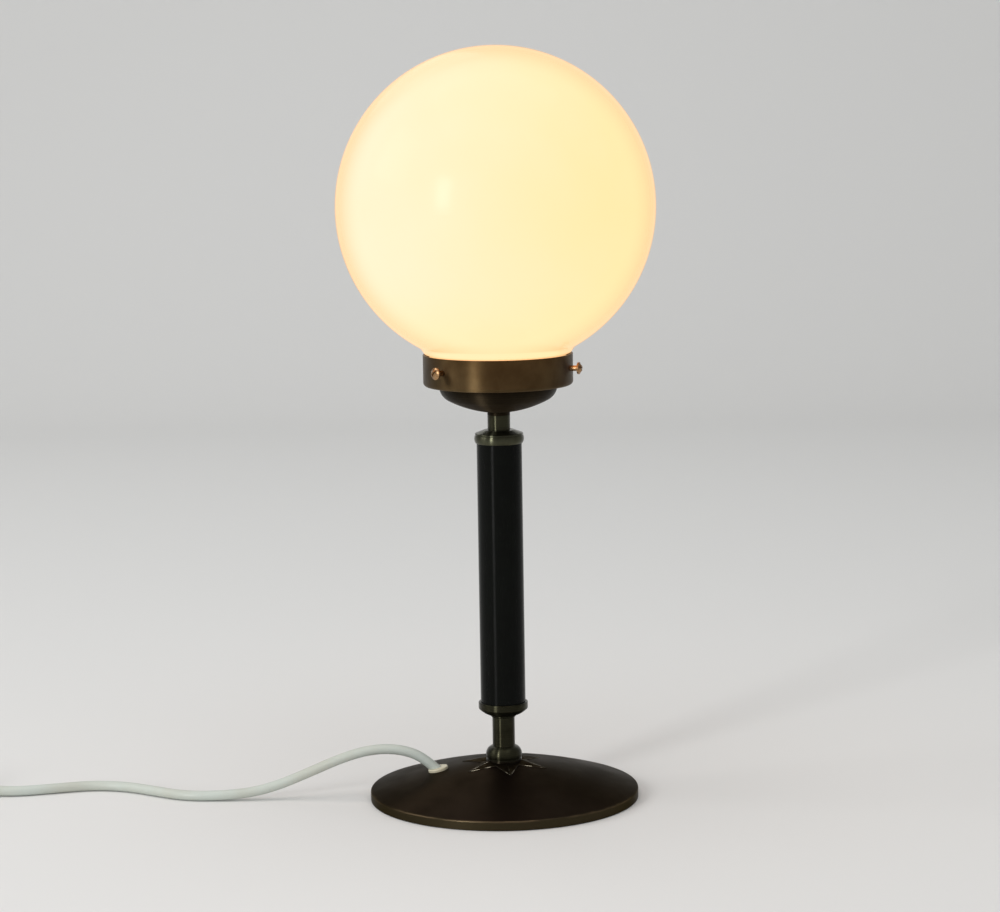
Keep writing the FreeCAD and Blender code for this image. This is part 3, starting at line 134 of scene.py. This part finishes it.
def coil_route():
    """Control points of the coil, set out a little so that the smooth line has the coil's own radius."""
    widen = 1 / math.cos(math.pi / POINTS_PER_TURN)
    total = 2 * (2 * math.pi * COIL_TURNS) + math.pi
    count = round(total / (2 * math.pi) * POINTS_PER_TURN)
    points = []
    for step in range(count + 1):
        radius, rise, turn = coil_point(total * step / count)
        if 0 < step < count:
            radius *= widen
        points.append(COIL_CENTRE + Vector((math.cos(turn) * radius, math.sin(turn) * radius, rise)))
    return points


def coil_ends():
    """Run-in, turns and run-out of the coil; each straight run stops a diameter short of the turns."""
    turns = coil_route()
    pitch = COIL_PITCH / (2 * math.pi)
    way_in = Vector((-COIL_OUTER, -pitch, 0)).normalized()
    way_out = Vector((COIL_OUTER, -pitch, 0)).normalized()
    start = turns[0] - way_in * CORD
    end = turns[-1] + way_out * CORD
    return [start - way_in * COIL_RUN_IN, start], turns, [end, end + way_out * COIL_RUN_OUT]


def cord_line(name, points):
    """Smooth round cord; each point carries its thickness, which a curve's box is measured with."""
    curve = bpy.data.curves.new(name, "CURVE")
    curve.dimensions = "3D"
    curve.bevel_depth = 1.0
    curve.bevel_resolution = 8
    curve.resolution_u = 12
    curve.use_fill_caps = True
    spline = curve.splines.new("NURBS")
    spline.points.add(len(points) - 1)
    for place, point in zip(spline.points, points):
        place.co = (*(Vector(point) * MM), 1)
        place.radius = CORD / 2 * MM
    spline.order_u = 3
    spline.use_endpoint_u = True
    line = bpy.data.objects.new(name, curve)
    scene.collection.objects.link(line)
    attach(line, "lamp")
    return line


# Rocker marks: a bar on the half that is pressed down for ON and a ring on the other

PIVOT = Vector((-383.0, 19.4, 13.2))
ROCKER_TILT = 7.0
ROCKER_HALF = 11.6
ROCKER_MIDDLE = 4.2
ROCKER_RISE = 1.2
MARK_OUT = 6.6
MARK_RAISED = 0.10
MARK_SUNK = 0.10
MARK_CORNERS = 40
ON_HALF_LENGTH = 1.5
ON_RADIUS = 0.35
OFF_OUTER = 1.9
OFF_INNER = 1.25


def rounded_bar(half_length, radius):
    """Outline of a bar with round ends; with no length, a circle."""
    corners = []
    for step in range(MARK_CORNERS):
        angle = 2 * math.pi * (step + 0.5) / MARK_CORNERS
        side = half_length if math.sin(angle) > 0 else -half_length
        corners.append((math.cos(angle) * radius, math.sin(angle) * radius + side))
    return corners


def make_mark(name, side, half_length, outer, inner):
    """Raised mark on one slope of the rocker's top; an inner radius opens it into a ring."""
    slope = -side * math.atan2(ROCKER_RISE, ROCKER_HALF)
    top = ROCKER_MIDDLE + ROCKER_RISE * MARK_OUT / ROCKER_HALF
    place = Matrix.Translation(PIVOT) @ Matrix.Rotation(math.radians(ROCKER_TILT), 4, "Y")
    place = place @ Matrix.Translation((side * MARK_OUT, 0, top)) @ Matrix.Rotation(slope, 4, "Y")
    levels = [(outer, -MARK_SUNK), (outer, MARK_RAISED)]
    if inner:
        levels += [(inner, MARK_RAISED), (inner, -MARK_SUNK)]
    mesh = bmesh.new()
    loops = []
    for radius, z in levels:
        corners = [place @ Vector((x, y, z)) for x, y in rounded_bar(half_length, radius)]
        loops.append([mesh.verts.new(corner * MM) for corner in corners])
    pairs = list(zip(loops, loops[1:]))
    if inner:
        pairs.append((loops[-1], loops[0]))
    else:
        mesh.faces.new(loops[0])
        mesh.faces.new(loops[1])
    for low, high in pairs:
        for step in range(MARK_CORNERS):
            after = (step + 1) % MARK_CORNERS
            mesh.faces.new((low[step], low[after], high[after], high[step]))
    bmesh.ops.recalc_face_normals(mesh, faces=mesh.faces[:])
    data = bpy.data.meshes.new(name)
    mesh.to_mesh(data)
    mark = bpy.data.objects.new(name, data)
    scene.collection.objects.link(mark)
    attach(mark, "rocker_body")
    return mark


rocker_marks = [
    make_mark("mark_on", 1, ON_HALF_LENGTH, ON_RADIUS, 0),
    make_mark("mark_off", -1, 0, OFF_OUTER, OFF_INNER),
]


def make_cords():
    seen = cord_line("cord_front", [CORD_EXIT, CORD_EXIT + CORD_OUT * CORD_STRAIGHT] + SEEN_ROUTE)
    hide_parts("cord_to_switch")
    before, turns, after = coil_ends()
    stored = cord_line("cord_stored", [SWITCH_END, SWITCH_LEAD] + before + turns + after
                       + [PLUG_LEAD, PLUG_TAIL])
    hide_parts("cord_to_coil", "cord_coil", "cord_to_plug")
    return seen, stored


cord_pieces = make_cords()

# Finishes

HALF_BLEND = 0.3 * MM
QUARTER_TURN = 0.25


class Finish:
    """A Principled material whose colour, roughness and relief come from procedural nodes."""

    def __init__(self, name, **settings):
        self.material = bpy.data.materials.new(name)
        self.material.use_nodes = True
        self.tree = self.material.node_tree
        self.shader = self.tree.nodes["Principled BSDF"]
        for socket, value in settings.items():
            self.shader.inputs[socket.replace("_", " ")].default_value = value
        self.place = self.node("ShaderNodeTexCoord").outputs["Object"]

    def node(self, kind, inputs=(), **settings):
        """A new node; each input is either a value or another node's output."""
        made = self.tree.nodes.new(kind)
        for key, value in settings.items():
            setattr(made, key, value)
        for key, value in dict(inputs).items():
            self.feed(made.inputs[key], value)
        return made

    def feed(self, socket, value):
        if isinstance(value, bpy.types.NodeSocket):
            self.tree.links.new(value, socket)
        else:
            socket.default_value = value

    def set(self, socket, value):
        self.feed(self.shader.inputs[socket], value)
        return self

    def stretched(self, x, y, z):
        """The place with each axis scaled, to draw a texture out along one of them."""
        return self.node("ShaderNodeVectorMath", {0: self.place, 1: (x, y, z)},
                         operation="MULTIPLY").outputs[0]

    def spun(self, radial, upward):
        """A place that only changes with the distance from the stem's axis and the height."""
        flat = self.stretched(1, 1, 0)
        distance = self.node("ShaderNodeVectorMath", {0: flat}, operation="LENGTH").outputs["Value"]
        return self.node("ShaderNodeCombineXYZ", {
            "X": self.math("MULTIPLY", distance, radial),
            "Z": self.math("MULTIPLY", self.height(), upward)}).outputs[0]

    def height(self):
        return self.node("ShaderNodeSeparateXYZ", {0: self.place}).outputs["Z"]

    def facing(self):
        """0 where the surface faces the eye, rising to 1 where it is edge on."""
        return self.node("ShaderNodeLayerWeight", {"Blend": 0.5}).outputs["Facing"]

    def above(self, level):
        """1 above a height, 0 below it, with a blend too narrow to see."""
        return self.fit(self.height(), level - HALF_BLEND, level + HALF_BLEND)

    def noise(self, scale, detail=3.0, roughness=0.55, place=None):
        inputs = {"Vector": place or self.place, "Scale": scale, "Detail": detail,
                  "Roughness": roughness}
        return self.node("ShaderNodeTexNoise", inputs).outputs["Fac"]

    def math(self, operation, first, second=0.0):
        return self.node("ShaderNodeMath", {0: first, 1: second}, operation=operation).outputs[0]

    def fit(self, value, low, high, to_low=0.0, to_high=1.0):
        """The value's stretch from low to high spread over another, smoothly and held at its ends."""
        inputs = {"Value": value, "From Min": low, "From Max": high,
                  "To Min": to_low, "To Max": to_high}
        return self.node("ShaderNodeMapRange", inputs, interpolation_type="SMOOTHSTEP").outputs[0]

    def mix(self, share, first, second):
        """The first colour where the share is 0, going over to the second where it is 1."""
        made = self.node("ShaderNodeMix", data_type="RGBA")
        self.feed(made.inputs["Factor"], share)
        for slot, value in (("A", first), ("B", second)):
            socket = [item for item in made.inputs if item.name == slot and item.type == "RGBA"][0]
            self.feed(socket, value)
        return [item for item in made.outputs if item.type == "RGBA"][0]

    def bump(self, height, strength, distance=0.0004):
        inputs = {"Height": height, "Strength": strength, "Distance": distance}
        made = self.node("ShaderNodeBump", inputs)
        self.feed(self.shader.inputs["Normal"], made.outputs[0])
        return self


def shade(red, green, blue):
    return (red, green, blue, 1.0)


# Metals, with the heights at which their colours change

RUB_FOOT = 5.4 * MM
RIM_TOP = 6.0 * MM
RUB_FADE = 6.2 * MM
RUB_TOP = 6.8 * MM
RIM_COLOUR_TOP = 7.0 * MM
EDGE_WANDER = 0.8 * MM
SKIRT_TOP = 25.3 * MM
LOWER_CAP_TOP = 62.5 * MM
UPPER_CAP_FOOT = 228.0 * MM
UPPER_CAP_TOP = 236.6 * MM
STEM_TOP = 246.0 * MM
BOWL_TOP = 264.6 * MM


def turned(finish, amount):
    """Fine rings left by the lathe, which draw each highlight out across themselves."""
    finish.set("Tangent", finish.node("ShaderNodeTangent", direction_type="RADIAL", axis="Z").outputs[0])
    finish.set("Anisotropic", amount)
    finish.set("Anisotropic Rotation", QUARTER_TURN)
    return finish


def aged_brass():
    """Lacquered brass with lathe lines: olive stem and browner gallery; painted shade darkens the lower
    cap, neck and bowl and makes the skirt nearly black, and a painted highlight brightens the upper cap.
    """
    finish = turned(Finish("aged_brass", Metallic=1.0), 1.0)
    height = finish.height()
    patches = finish.noise(55, 4)
    blotch = finish.fit(patches, 0.35, 0.7)
    lines = finish.noise(1, 4, 0.6, finish.spun(900, 2600))
    # foot: painted shade, the lower cap, lower neck and collar bead darker than the same brass on the
    # stem
    foot = finish.mix(blotch, shade(0.036, 0.036, 0.022), shade(0.021, 0.020, 0.012))
    stem = finish.mix(blotch, shade(0.042, 0.042, 0.026), shade(0.029, 0.028, 0.017))
    # upper cap: a brighter copy of the stem's brass, a painted highlight
    cap_painted_highlight = finish.mix(blotch, shade(0.084, 0.086, 0.056), shade(0.054, 0.054, 0.034))
    # bowl: darker than the ring above it, painted shade and dark reflection under the gallery
    bowl_painted_shade = finish.mix(blotch, shade(0.034, 0.024, 0.014), shade(0.023, 0.016, 0.010))
    ring = finish.mix(blotch, shade(0.158, 0.104, 0.047), shade(0.115, 0.071, 0.030))
    colour = finish.mix(finish.above(LOWER_CAP_TOP), foot, stem)
    colour = finish.mix(finish.above(UPPER_CAP_FOOT), colour, cap_painted_highlight)
    colour = finish.mix(finish.above(UPPER_CAP_TOP), colour, stem)
    colour = finish.mix(finish.above(STEM_TOP), colour, bowl_painted_shade)
    colour = finish.mix(finish.above(BOWL_TOP), colour, ring)
    colour = finish.mix(finish.fit(lines, 0.35, 0.8, 0.0, 0.25), colour, shade(0.11, 0.095, 0.055))
    # below the skirt's top: nearly black painted shade on the collar's downward-facing skirt
    finish.set("Base Color", finish.mix(finish.above(SKIRT_TOP), shade(0.026, 0.022, 0.015), colour))
    polish = finish.fit(patches, 0.3, 0.75, 0.29, 0.34)
    rougher = finish.math("MULTIPLY", finish.above(STEM_TOP), 0.26)
    finish.set("Roughness", finish.math("ADD", polish, rougher))
    return finish.bump(lines, 0.03, 0.0002).material


def dark_brass():
    """Satin dark brown lacquer over the base, rubbed brighter along the soft edge above its rim, with a
    painted highlight there too.
    """
    finish = turned(Finish("dark_brass", Metallic=1.0, Specular_Tint=shade(0.49, 0.48, 0.46)), 0.4)
    patches = finish.noise(28, 4)
    specks = finish.noise(420, 4, 0.7)
    lines = finish.noise(1, 3, 0.6, finish.spun(1400, 0))
    blotch = finish.fit(patches, 0.35, 0.7)
    colour = finish.mix(blotch, shade(0.027, 0.020, 0.0155), shade(0.0175, 0.013, 0.010))
    colour = finish.mix(finish.fit(specks, 0.64, 0.80, 0.0, 0.4), colour, shade(0.070, 0.056, 0.036))
    wander = finish.math("MULTIPLY", finish.noise(160, 3), EDGE_WANDER)
    edge = finish.math("ADD", finish.height(), wander)
    rim = finish.fit(edge, RIM_TOP, RIM_COLOUR_TOP, 1.0, 0.0)
    colour = finish.mix(rim, colour, shade(0.042, 0.033, 0.018))
    # rubbed: worn brass along the soft edge above the rim, brightened further as a painted highlight
    rubbed = finish.math("MULTIPLY", finish.fit(edge, RUB_FOOT, RIM_TOP),
                         finish.fit(edge, RUB_FADE, RUB_TOP, 1.0, 0.0))
    rubbed = finish.math("MULTIPLY", rubbed, finish.fit(finish.noise(45, 3), 0.35, 0.6, 0.1, 0.8))
    finish.set("Base Color", finish.mix(rubbed, colour, shade(0.115, 0.082, 0.048)))
    finish.set("Roughness", finish.fit(patches, 0.3, 0.7, 0.34, 0.44))
    return finish.bump(lines, 0.05, 0.0002).material


def star_brass():
    """The star's faces, as dark as the base."""
    finish = Finish("star_brass", Metallic=1.0, Specular_Tint=shade(0.50, 0.48, 0.45))
    patches = finish.noise(260, 4)
    blotch = finish.fit(patches, 0.35, 0.65)
    finish.set("Base Color", finish.mix(blotch, shade(0.034, 0.027, 0.018), shade(0.017, 0.013, 0.009)))
    finish.set("Roughness", finish.fit(patches, 0.3, 0.75, 0.36, 0.48))
    return finish.bump(patches, 0.1).material


def worn_edge():
    """Brass rubbed bright along the star's crests, with the dark lacquer left in places."""
    finish = Finish("worn_edge", Metallic=1.0)
    rubbed = finish.fit(finish.noise(150, 2), 0.53, 0.60)
    finish.set("Base Color", finish.mix(rubbed, shade(0.03, 0.025, 0.017), shade(0.46, 0.41, 0.31)))
    finish.set("Roughness", finish.fit(rubbed, 0.0, 1.0, 0.4, 0.22))
    return finish.material


def screw_brass():
    """Coppery brass, tarnished in patches."""
    finish = Finish("screw_brass", Metallic=1.0)
    patches = finish.noise(350, 4)
    tarnish = finish.fit(patches, 0.35, 0.7)
    finish.set("Base Color", finish.mix(tarnish, shade(0.42, 0.25, 0.125), shade(0.19, 0.10, 0.045)))
    finish.set("Roughness", finish.fit(patches, 0.3, 0.75, 0.22, 0.42))
    return finish.bump(patches, 0.08).material


def bright_metal(name, light, dark, low, high, scale):
    """Clean metal in two tones, with its roughness between low and high."""
    finish = Finish(name, Metallic=1.0)
    patches = finish.noise(scale, 4)
    finish.set("Base Color", finish.mix(finish.fit(patches, 0.3, 0.7), light, dark))
    finish.set("Roughness", finish.fit(patches, 0.3, 0.75, low, high))
    return finish.bump(finish.noise(scale * 6, 3), 0.06).material


def cast_iron():
    """Rough casting with a sandy grain."""
    finish = Finish("iron", Metallic=0.6)
    grain = finish.noise(500, 5)
    finish.set("Base Color", finish.mix(grain, shade(0.10, 0.10, 0.10), shade(0.05, 0.045, 0.04)))
    finish.set("Roughness", finish.fit(grain, 0.2, 0.8, 0.55, 0.8))
    return finish.bump(grain, 0.5).material


# Sleeve, plastics, ceramic and cloth


def black_sleeve():
    """Black enamel with a slight green cast, whose highlights are drawn out up and down."""
    finish = turned(Finish("black_sleeve", Specular_IOR_Level=0.07), 1.0)
    mottle = finish.noise(120, 3)
    green_black = shade(0.0034, 0.0042, 0.0032)
    finish.set("Base Color", finish.mix(mottle, green_black, shade(0.0020, 0.0022, 0.0019)))
    finish.set("Roughness", finish.fit(finish.noise(60, 4), 0.3, 0.7, 0.20, 0.26))
    return finish.bump(finish.noise(900, 2), 0.03, 0.0002).material


def moulded(name, light, dark, low, high, grain=1200, strength=0.05):
    """Plastic or dark glass in two near tones, with a fine grain."""
    finish = Finish(name)
    tone = finish.noise(60, 3)
    finish.set("Base Color", finish.mix(finish.fit(tone, 0.2, 0.8), light, dark))
    finish.set("Roughness", finish.fit(finish.noise(90, 2), 0.2, 0.8, low, high))
    return finish.bump(finish.noise(grain, 3), strength, 0.0002).material


def white_cord():
    """White sheath, a little yellowed in patches, with faint specks of grime."""
    finish = Finish("white_cord")
    tone = finish.noise(22, 3)
    specks = finish.noise(500, 3)
    yellowed = finish.fit(tone, 0.35, 0.7)
    colour = finish.mix(yellowed, shade(0.52, 0.57, 0.525), shade(0.485, 0.505, 0.445))
    colour = finish.mix(finish.fit(specks, 0.62, 0.85, 0.0, 0.35), colour, shade(0.38, 0.37, 0.33))
    finish.set("Base Color", colour)
    finish.set("Roughness", finish.fit(finish.noise(120, 3), 0.3, 0.7, 0.38, 0.5))
    return finish.bump(finish.noise(700, 2), 0.08, 0.0002).material


def porcelain():
    """Off-white glazed ceramic."""
    finish = Finish("porcelain", Roughness=0.18, Coat_Weight=0.4, Coat_Roughness=0.08)
    tone = finish.noise(90, 3)
    finish.set("Base Color", finish.mix(tone, shade(0.88, 0.86, 0.80), shade(0.78, 0.75, 0.68)))
    return finish.bump(finish.noise(300, 2), 0.08).material


def felt():
    """Dark green felt with matted fibres."""
    finish = Finish("felt", Roughness=0.95, Sheen_Weight=0.4, Sheen_Roughness=0.5)
    fibres = finish.noise(900, 5, 0.7)
    finish.set("Base Color", finish.mix(fibres, shade(0.035, 0.075, 0.045), shade(0.015, 0.035, 0.02)))
    return finish.bump(fibres, 0.6, 0.0005).material


# Glass, with the heights and the width over which its glow changes

HIDDEN_FOOT = 274 * MM
HIDDEN_TOP = 283.3 * MM
AMBER_FOOT = 283.5 * MM
AMBER_TOP = 286 * MM
YELLOWER_TOP = 345 * MM
GLOW_HALF_WIDTH = 110 * MM
BULB_NECK = 310 * MM
BULB_BALL = 365 * MM


def opal_glass():
    """Opal glass lit from inside: warm white, yellower below and amber at its edges, with painted light
    making it whiter to the left and yellower to the right.
    """
    finish = Finish("opal_glass", Base_Color=shade(0.05, 0.045, 0.035), Emission_Strength=1.0,
                    Specular_IOR_Level=0.05)
    height = finish.height()
    across = finish.node("ShaderNodeSeparateXYZ", {0: finish.place}).outputs["X"]
    cloud = finish.noise(9, 3)
    # side: painted light, whiter toward the left and yellower toward the right as if daylight fell from
    # the left
    side = finish.fit(across, -GLOW_HALF_WIDTH, GLOW_HALF_WIDTH)
    side = finish.math("ADD", side, finish.fit(cloud, 0.3, 0.7, -0.08, 0.08))
    glow = finish.mix(side, shade(1.5, 0.88, 0.61), shade(1.5, 0.82, 0.40))
    low = finish.fit(height, AMBER_TOP, YELLOWER_TOP, 1.0, 0.0)
    glow = finish.mix(finish.math("MULTIPLY", low, 0.6), glow, shade(1.5, 0.84, 0.42))
    neck = finish.fit(height, AMBER_FOOT, AMBER_TOP, 1.0, 0.0)
    glow = finish.mix(neck, glow, shade(1.2, 0.60, 0.22))
    hidden = finish.fit(height, HIDDEN_FOOT, HIDDEN_TOP, 1.0, 0.0)
    glow = finish.mix(hidden, glow, shade(0.72, 0.50, 0.27))
    rim = finish.facing()
    glow = finish.mix(finish.fit(rim, 0.46, 0.90), glow, shade(0.96, 0.60, 0.28))
    glow = finish.mix(finish.fit(rim, 0.84, 1.0, 0.0, 0.9), glow, shade(0.38, 0.20, 0.06))
    finish.set("Emission Color", glow)
    finish.set("Roughness", finish.fit(cloud, 0.3, 0.7, 0.14, 0.22))
    return finish.material


def frosted_bulb():
    """Frosted glass, brightest where its ball faces the eye and warmer down its neck."""
    finish = Finish("frosted_bulb", Roughness=0.4, Base_Color=shade(0.16, 0.15, 0.13),
                    Emission_Strength=1.0)
    upward = finish.fit(finish.height(), BULB_NECK, BULB_BALL)
    glow = finish.mix(upward, shade(0.60, 0.41, 0.20), shade(0.90, 0.78, 0.52))
    edge = finish.fit(finish.facing(), 0.1, 1.0, 0.0, 0.35)
    glow = finish.mix(edge, glow, shade(0.50, 0.37, 0.20))
    finish.set("Emission Color", glow)
    return finish.bump(finish.noise(1500, 2), 0.05).material


def clear_glass():
    """Clear glass of the bulb's mount."""
    finish = Finish("clear_glass", Transmission_Weight=0.9, IOR=1.48)
    finish.set("Roughness", finish.fit(finish.noise(200, 2), 0.3, 0.7, 0.02, 0.06))
    cloud = finish.noise(80, 2)
    finish.set("Base Color", finish.mix(cloud, shade(0.93, 0.95, 0.95), shade(0.88, 0.90, 0.90)))
    return finish.material


FINISHES = {
    "aged_brass": aged_brass(),
    "dark_brass": dark_brass(),
    "star_brass": star_brass(),
    "worn_edge": worn_edge(),
    "screw_brass": screw_brass(),
    "contact_metal": bright_metal("contact_metal", shade(0.72, 0.58, 0.30),
                                  shade(0.5, 0.38, 0.2), 0.18, 0.34, 200),
    "zinc_steel": bright_metal("zinc_steel", shade(0.62, 0.62, 0.58),
                               shade(0.45, 0.45, 0.41), 0.28, 0.45, 240),
    "filament": bright_metal("filament", shade(0.42, 0.42, 0.43),
                             shade(0.3, 0.3, 0.31), 0.3, 0.4, 400),
    "iron": cast_iron(),
    "black_sleeve": black_sleeve(),
    "holder_plastic": moulded("holder_plastic", shade(0.022, 0.02, 0.018),
                              shade(0.016, 0.015, 0.014), 0.28, 0.34),
    "black_glass": moulded("black_glass", shade(0.015, 0.014, 0.018),
                           shade(0.01, 0.01, 0.012), 0.08, 0.16),
    "cream_bush": moulded("cream_bush", shade(0.60, 0.58, 0.45), shade(0.52, 0.47, 0.33), 0.35, 0.5),
    "white_plastic": moulded("white_plastic", shade(0.61, 0.62, 0.585),
                             shade(0.58, 0.58, 0.53), 0.30, 0.36, 1800),
    "pin_sleeve": moulded("pin_sleeve", shade(0.60, 0.60, 0.57), shade(0.56, 0.55, 0.51), 0.4, 0.5),
    "brown_wire": moulded("brown_wire", shade(0.20, 0.09, 0.04), shade(0.15, 0.065, 0.03), 0.3, 0.42),
    "blue_wire": moulded("blue_wire", shade(0.06, 0.16, 0.42), shade(0.045, 0.12, 0.33), 0.3, 0.42),
    "white_cord": white_cord(),
    "porcelain": porcelain(),
    "felt": felt(),
    "opal_glass": opal_glass(),
    "frosted_bulb": frosted_bulb(),
    "clear_glass": clear_glass(),
}


def dress(piece, finish):
    """One finish over the whole piece."""
    if piece.material_slots:
        for place in piece.material_slots:
            place.material = FINISHES[finish]
    else:
        piece.data.materials.append(FINISHES[finish])


for subpart in frame["record"]["subparts"]:
    dress(nodes[subpart["node"]], subpart["material_slot"])
for cord in cord_pieces:
    dress(cord, "white_cord")
for mark in rocker_marks:
    dress(mark, "holder_plastic")

# Star, in millimetres: the solid's own facets, with crests and outer edges rubbed to a narrow flat

STAR_RAYS = 6
STAR_FIRST_TIP = math.radians(-22)
STAR_TIP = 29.0
STAR_VALLEY = 14.5
STAR_CREST_START = 12.6
STAR_THICKNESS = 0.7
STAR_TIP_SHARE = 0.5
STAR_VALLEY_SHARE = 0.75
STAR_CREST = 0.9
STAR_SUNK = 0.25
STAR_HOLE = 5.9
STAR_EDGE = 0.13
BASE_TOP = 23.0
BASE_FLAT = 12.0
BASE_RADIUS = 85.5
BASE_RIM = 6.0
BASE_DOME = 400.0


def base_height(distance):
    """Height of the base's domed top at a distance from the stem's axis, in mm."""
    if distance < BASE_FLAT:
        return BASE_TOP
    rim = Vector((BASE_RADIUS, BASE_RIM))
    flat = Vector((BASE_FLAT, BASE_TOP))
    chord = flat - rim
    across = Vector((chord.y, -chord.x)).normalized()
    centre = (rim + flat) / 2 - across * math.sqrt(BASE_DOME ** 2 - chord.length_squared / 4)
    return centre.y + math.sqrt(BASE_DOME ** 2 - (distance - centre.x) ** 2)


def make_star():
    """Six ridged rays with a valley between each two of them."""
    mesh = bmesh.new()

    def point(radius, angle, height):
        return mesh.verts.new(Vector((math.cos(angle) * radius, math.sin(angle) * radius, height)) * MM)

    step = 2 * math.pi / STAR_RAYS
    tips, feet = [], []
    top = BASE_TOP + STAR_THICKNESS
    for ray in range(STAR_RAYS):
        middle = STAR_FIRST_TIP + ray * step
        crest = point(STAR_CREST_START, middle, top + STAR_CREST)
        tip = point(STAR_TIP, middle, base_height(STAR_TIP) + STAR_THICKNESS * STAR_TIP_SHARE)
        foot = point(STAR_TIP, middle, base_height(STAR_TIP) - STAR_SUNK)
        inside = point(STAR_HOLE, middle, top)
        side = middle + step / 2
        valley_top = base_height(STAR_VALLEY) + STAR_THICKNESS * STAR_VALLEY_SHARE
        valley = point(STAR_VALLEY, side, valley_top)
        low = point(STAR_VALLEY, side, base_height(STAR_VALLEY) - STAR_SUNK)
        plate = point(BASE_FLAT, side, top)
        hub = point(STAR_HOLE, side, top)
        tips.append((crest, tip, foot, inside))
        feet.append((valley, low, plate, hub))
    for ray, (crest, tip, foot, inside) in enumerate(tips):
        for valley, low, plate, hub, mirrored in ((*feet[ray], False), (*feet[ray - 1], True)):
            faces = [(crest, tip, valley), (crest, valley, plate), (crest, plate, hub, inside),
                     (tip, foot, low, valley)]
            for corners in faces:
                mesh.faces.new(corners[::-1] if mirrored else corners)
    edges = [mesh.edges.get((crest, tip)) for crest, tip, _, _ in tips]
    edges += [edge for edge in mesh.edges
              if any(tip in edge.verts and foot not in edge.verts and crest not in edge.verts
                     for crest, tip, foot, _ in tips)]
    bmesh.ops.bevel(mesh, geom=edges, offset=STAR_EDGE * MM, segments=1, profile=0.5,
                    affect="EDGES", material=1, clamp_overlap=True)
    bmesh.ops.recalc_face_normals(mesh, faces=mesh.faces[:])
    data = bpy.data.meshes.new("star")
    mesh.to_mesh(data)
    star = bpy.data.objects.new("star", data)
    scene.collection.objects.link(star)
    data.materials.append(FINISHES["star_brass"])
    data.materials.append(FINISHES["worn_edge"])
    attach(star, "lamp")
    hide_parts("star_rosette")


make_star()

# Studio, in metres: a pale sweep, soft lights to the left, behind and overhead, and an even sky

FLOOR_COLOUR = (0.74, 0.74, 0.73)
SWEEP_HALF_WIDTH = 4.0
SWEEP_FRONT = -3.0
SWEEP_BACK = 1.9
SWEEP_BEND = 0.8
SWEEP_HEIGHT = 4.0
SWEEP_STEPS = 24
LAMP_MIDDLE = Vector((0, 0, 0.25))


def make_sweep():
    """Floor that curves up into a backdrop."""
    line = [(SWEEP_FRONT, 0.0)]
    for step in range(SWEEP_STEPS + 1):
        angle = math.pi / 2 * step / SWEEP_STEPS
        line.append((SWEEP_BACK + math.sin(angle) * SWEEP_BEND, (1 - math.cos(angle)) * SWEEP_BEND))
    line.append((SWEEP_BACK + SWEEP_BEND, SWEEP_HEIGHT))
    corners = [(side * SWEEP_HALF_WIDTH, y, z) for y, z in line for side in (-1, 1)]
    faces = [(row * 2, row * 2 + 1, row * 2 + 3, row * 2 + 2) for row in range(len(line) - 1)]
    mesh = bpy.data.meshes.new("sweep")
    mesh.from_pydata(corners, [], faces)
    mesh.shade_smooth()
    sweep = bpy.data.objects.new("sweep", mesh)
    scene.collection.objects.link(sweep)
    paper = bpy.data.materials.new("paper")
    paper.use_nodes = True
    shader = paper.node_tree.nodes["Principled BSDF"]
    shader.inputs["Base Color"].default_value = (*FLOOR_COLOUR, 1)
    shader.inputs["Roughness"].default_value = 0.85
    shader.inputs["Specular IOR Level"].default_value = 0.1
    mesh.materials.append(paper)


def soft_light(name, azimuth, elevation, distance, width, height, radiance):
    """Rectangular light about the lamp; azimuth 0 is the camera's side, and negative is to its left."""
    data = bpy.data.lights.new(name, "AREA")
    data.shape = "RECTANGLE"
    data.size = width
    data.size_y = height
    data.energy = radiance * width * height * math.pi
    light = bpy.data.objects.new(name, data)
    scene.collection.objects.link(light)
    turn = math.radians(azimuth)
    lift = math.radians(elevation)
    away = Vector((math.sin(turn) * math.cos(lift), -math.cos(turn) * math.cos(lift), math.sin(lift)))
    light.location = LAMP_MIDDLE + away * distance
    light.rotation_mode = "QUATERNION"
    light.rotation_quaternion = away.to_track_quat("Z", "Y")


def make_world(level):
    """Even white sky."""
    world = bpy.data.worlds.new("studio")
    world.use_nodes = True
    sky = world.node_tree.nodes["Background"]
    sky.inputs["Color"].default_value = (1, 1, 1, 1)
    sky.inputs["Strength"].default_value = level
    scene.world = world


make_sweep()
soft_light("window", azimuth=-37, elevation=14, distance=3.2, width=0.56, height=1.10, radiance=21.0)
soft_light("side", azimuth=-85, elevation=30, distance=2.8, width=1.3, height=1.3, radiance=2.8)
soft_light("back", azimuth=-160, elevation=34, distance=2.4, width=1.0, height=1.0, radiance=0.7)
soft_light("overhead", azimuth=0, elevation=80, distance=2.6, width=3.0, height=3.0, radiance=1.3)
make_world(0.38)

bpy.context.view_layer.update()
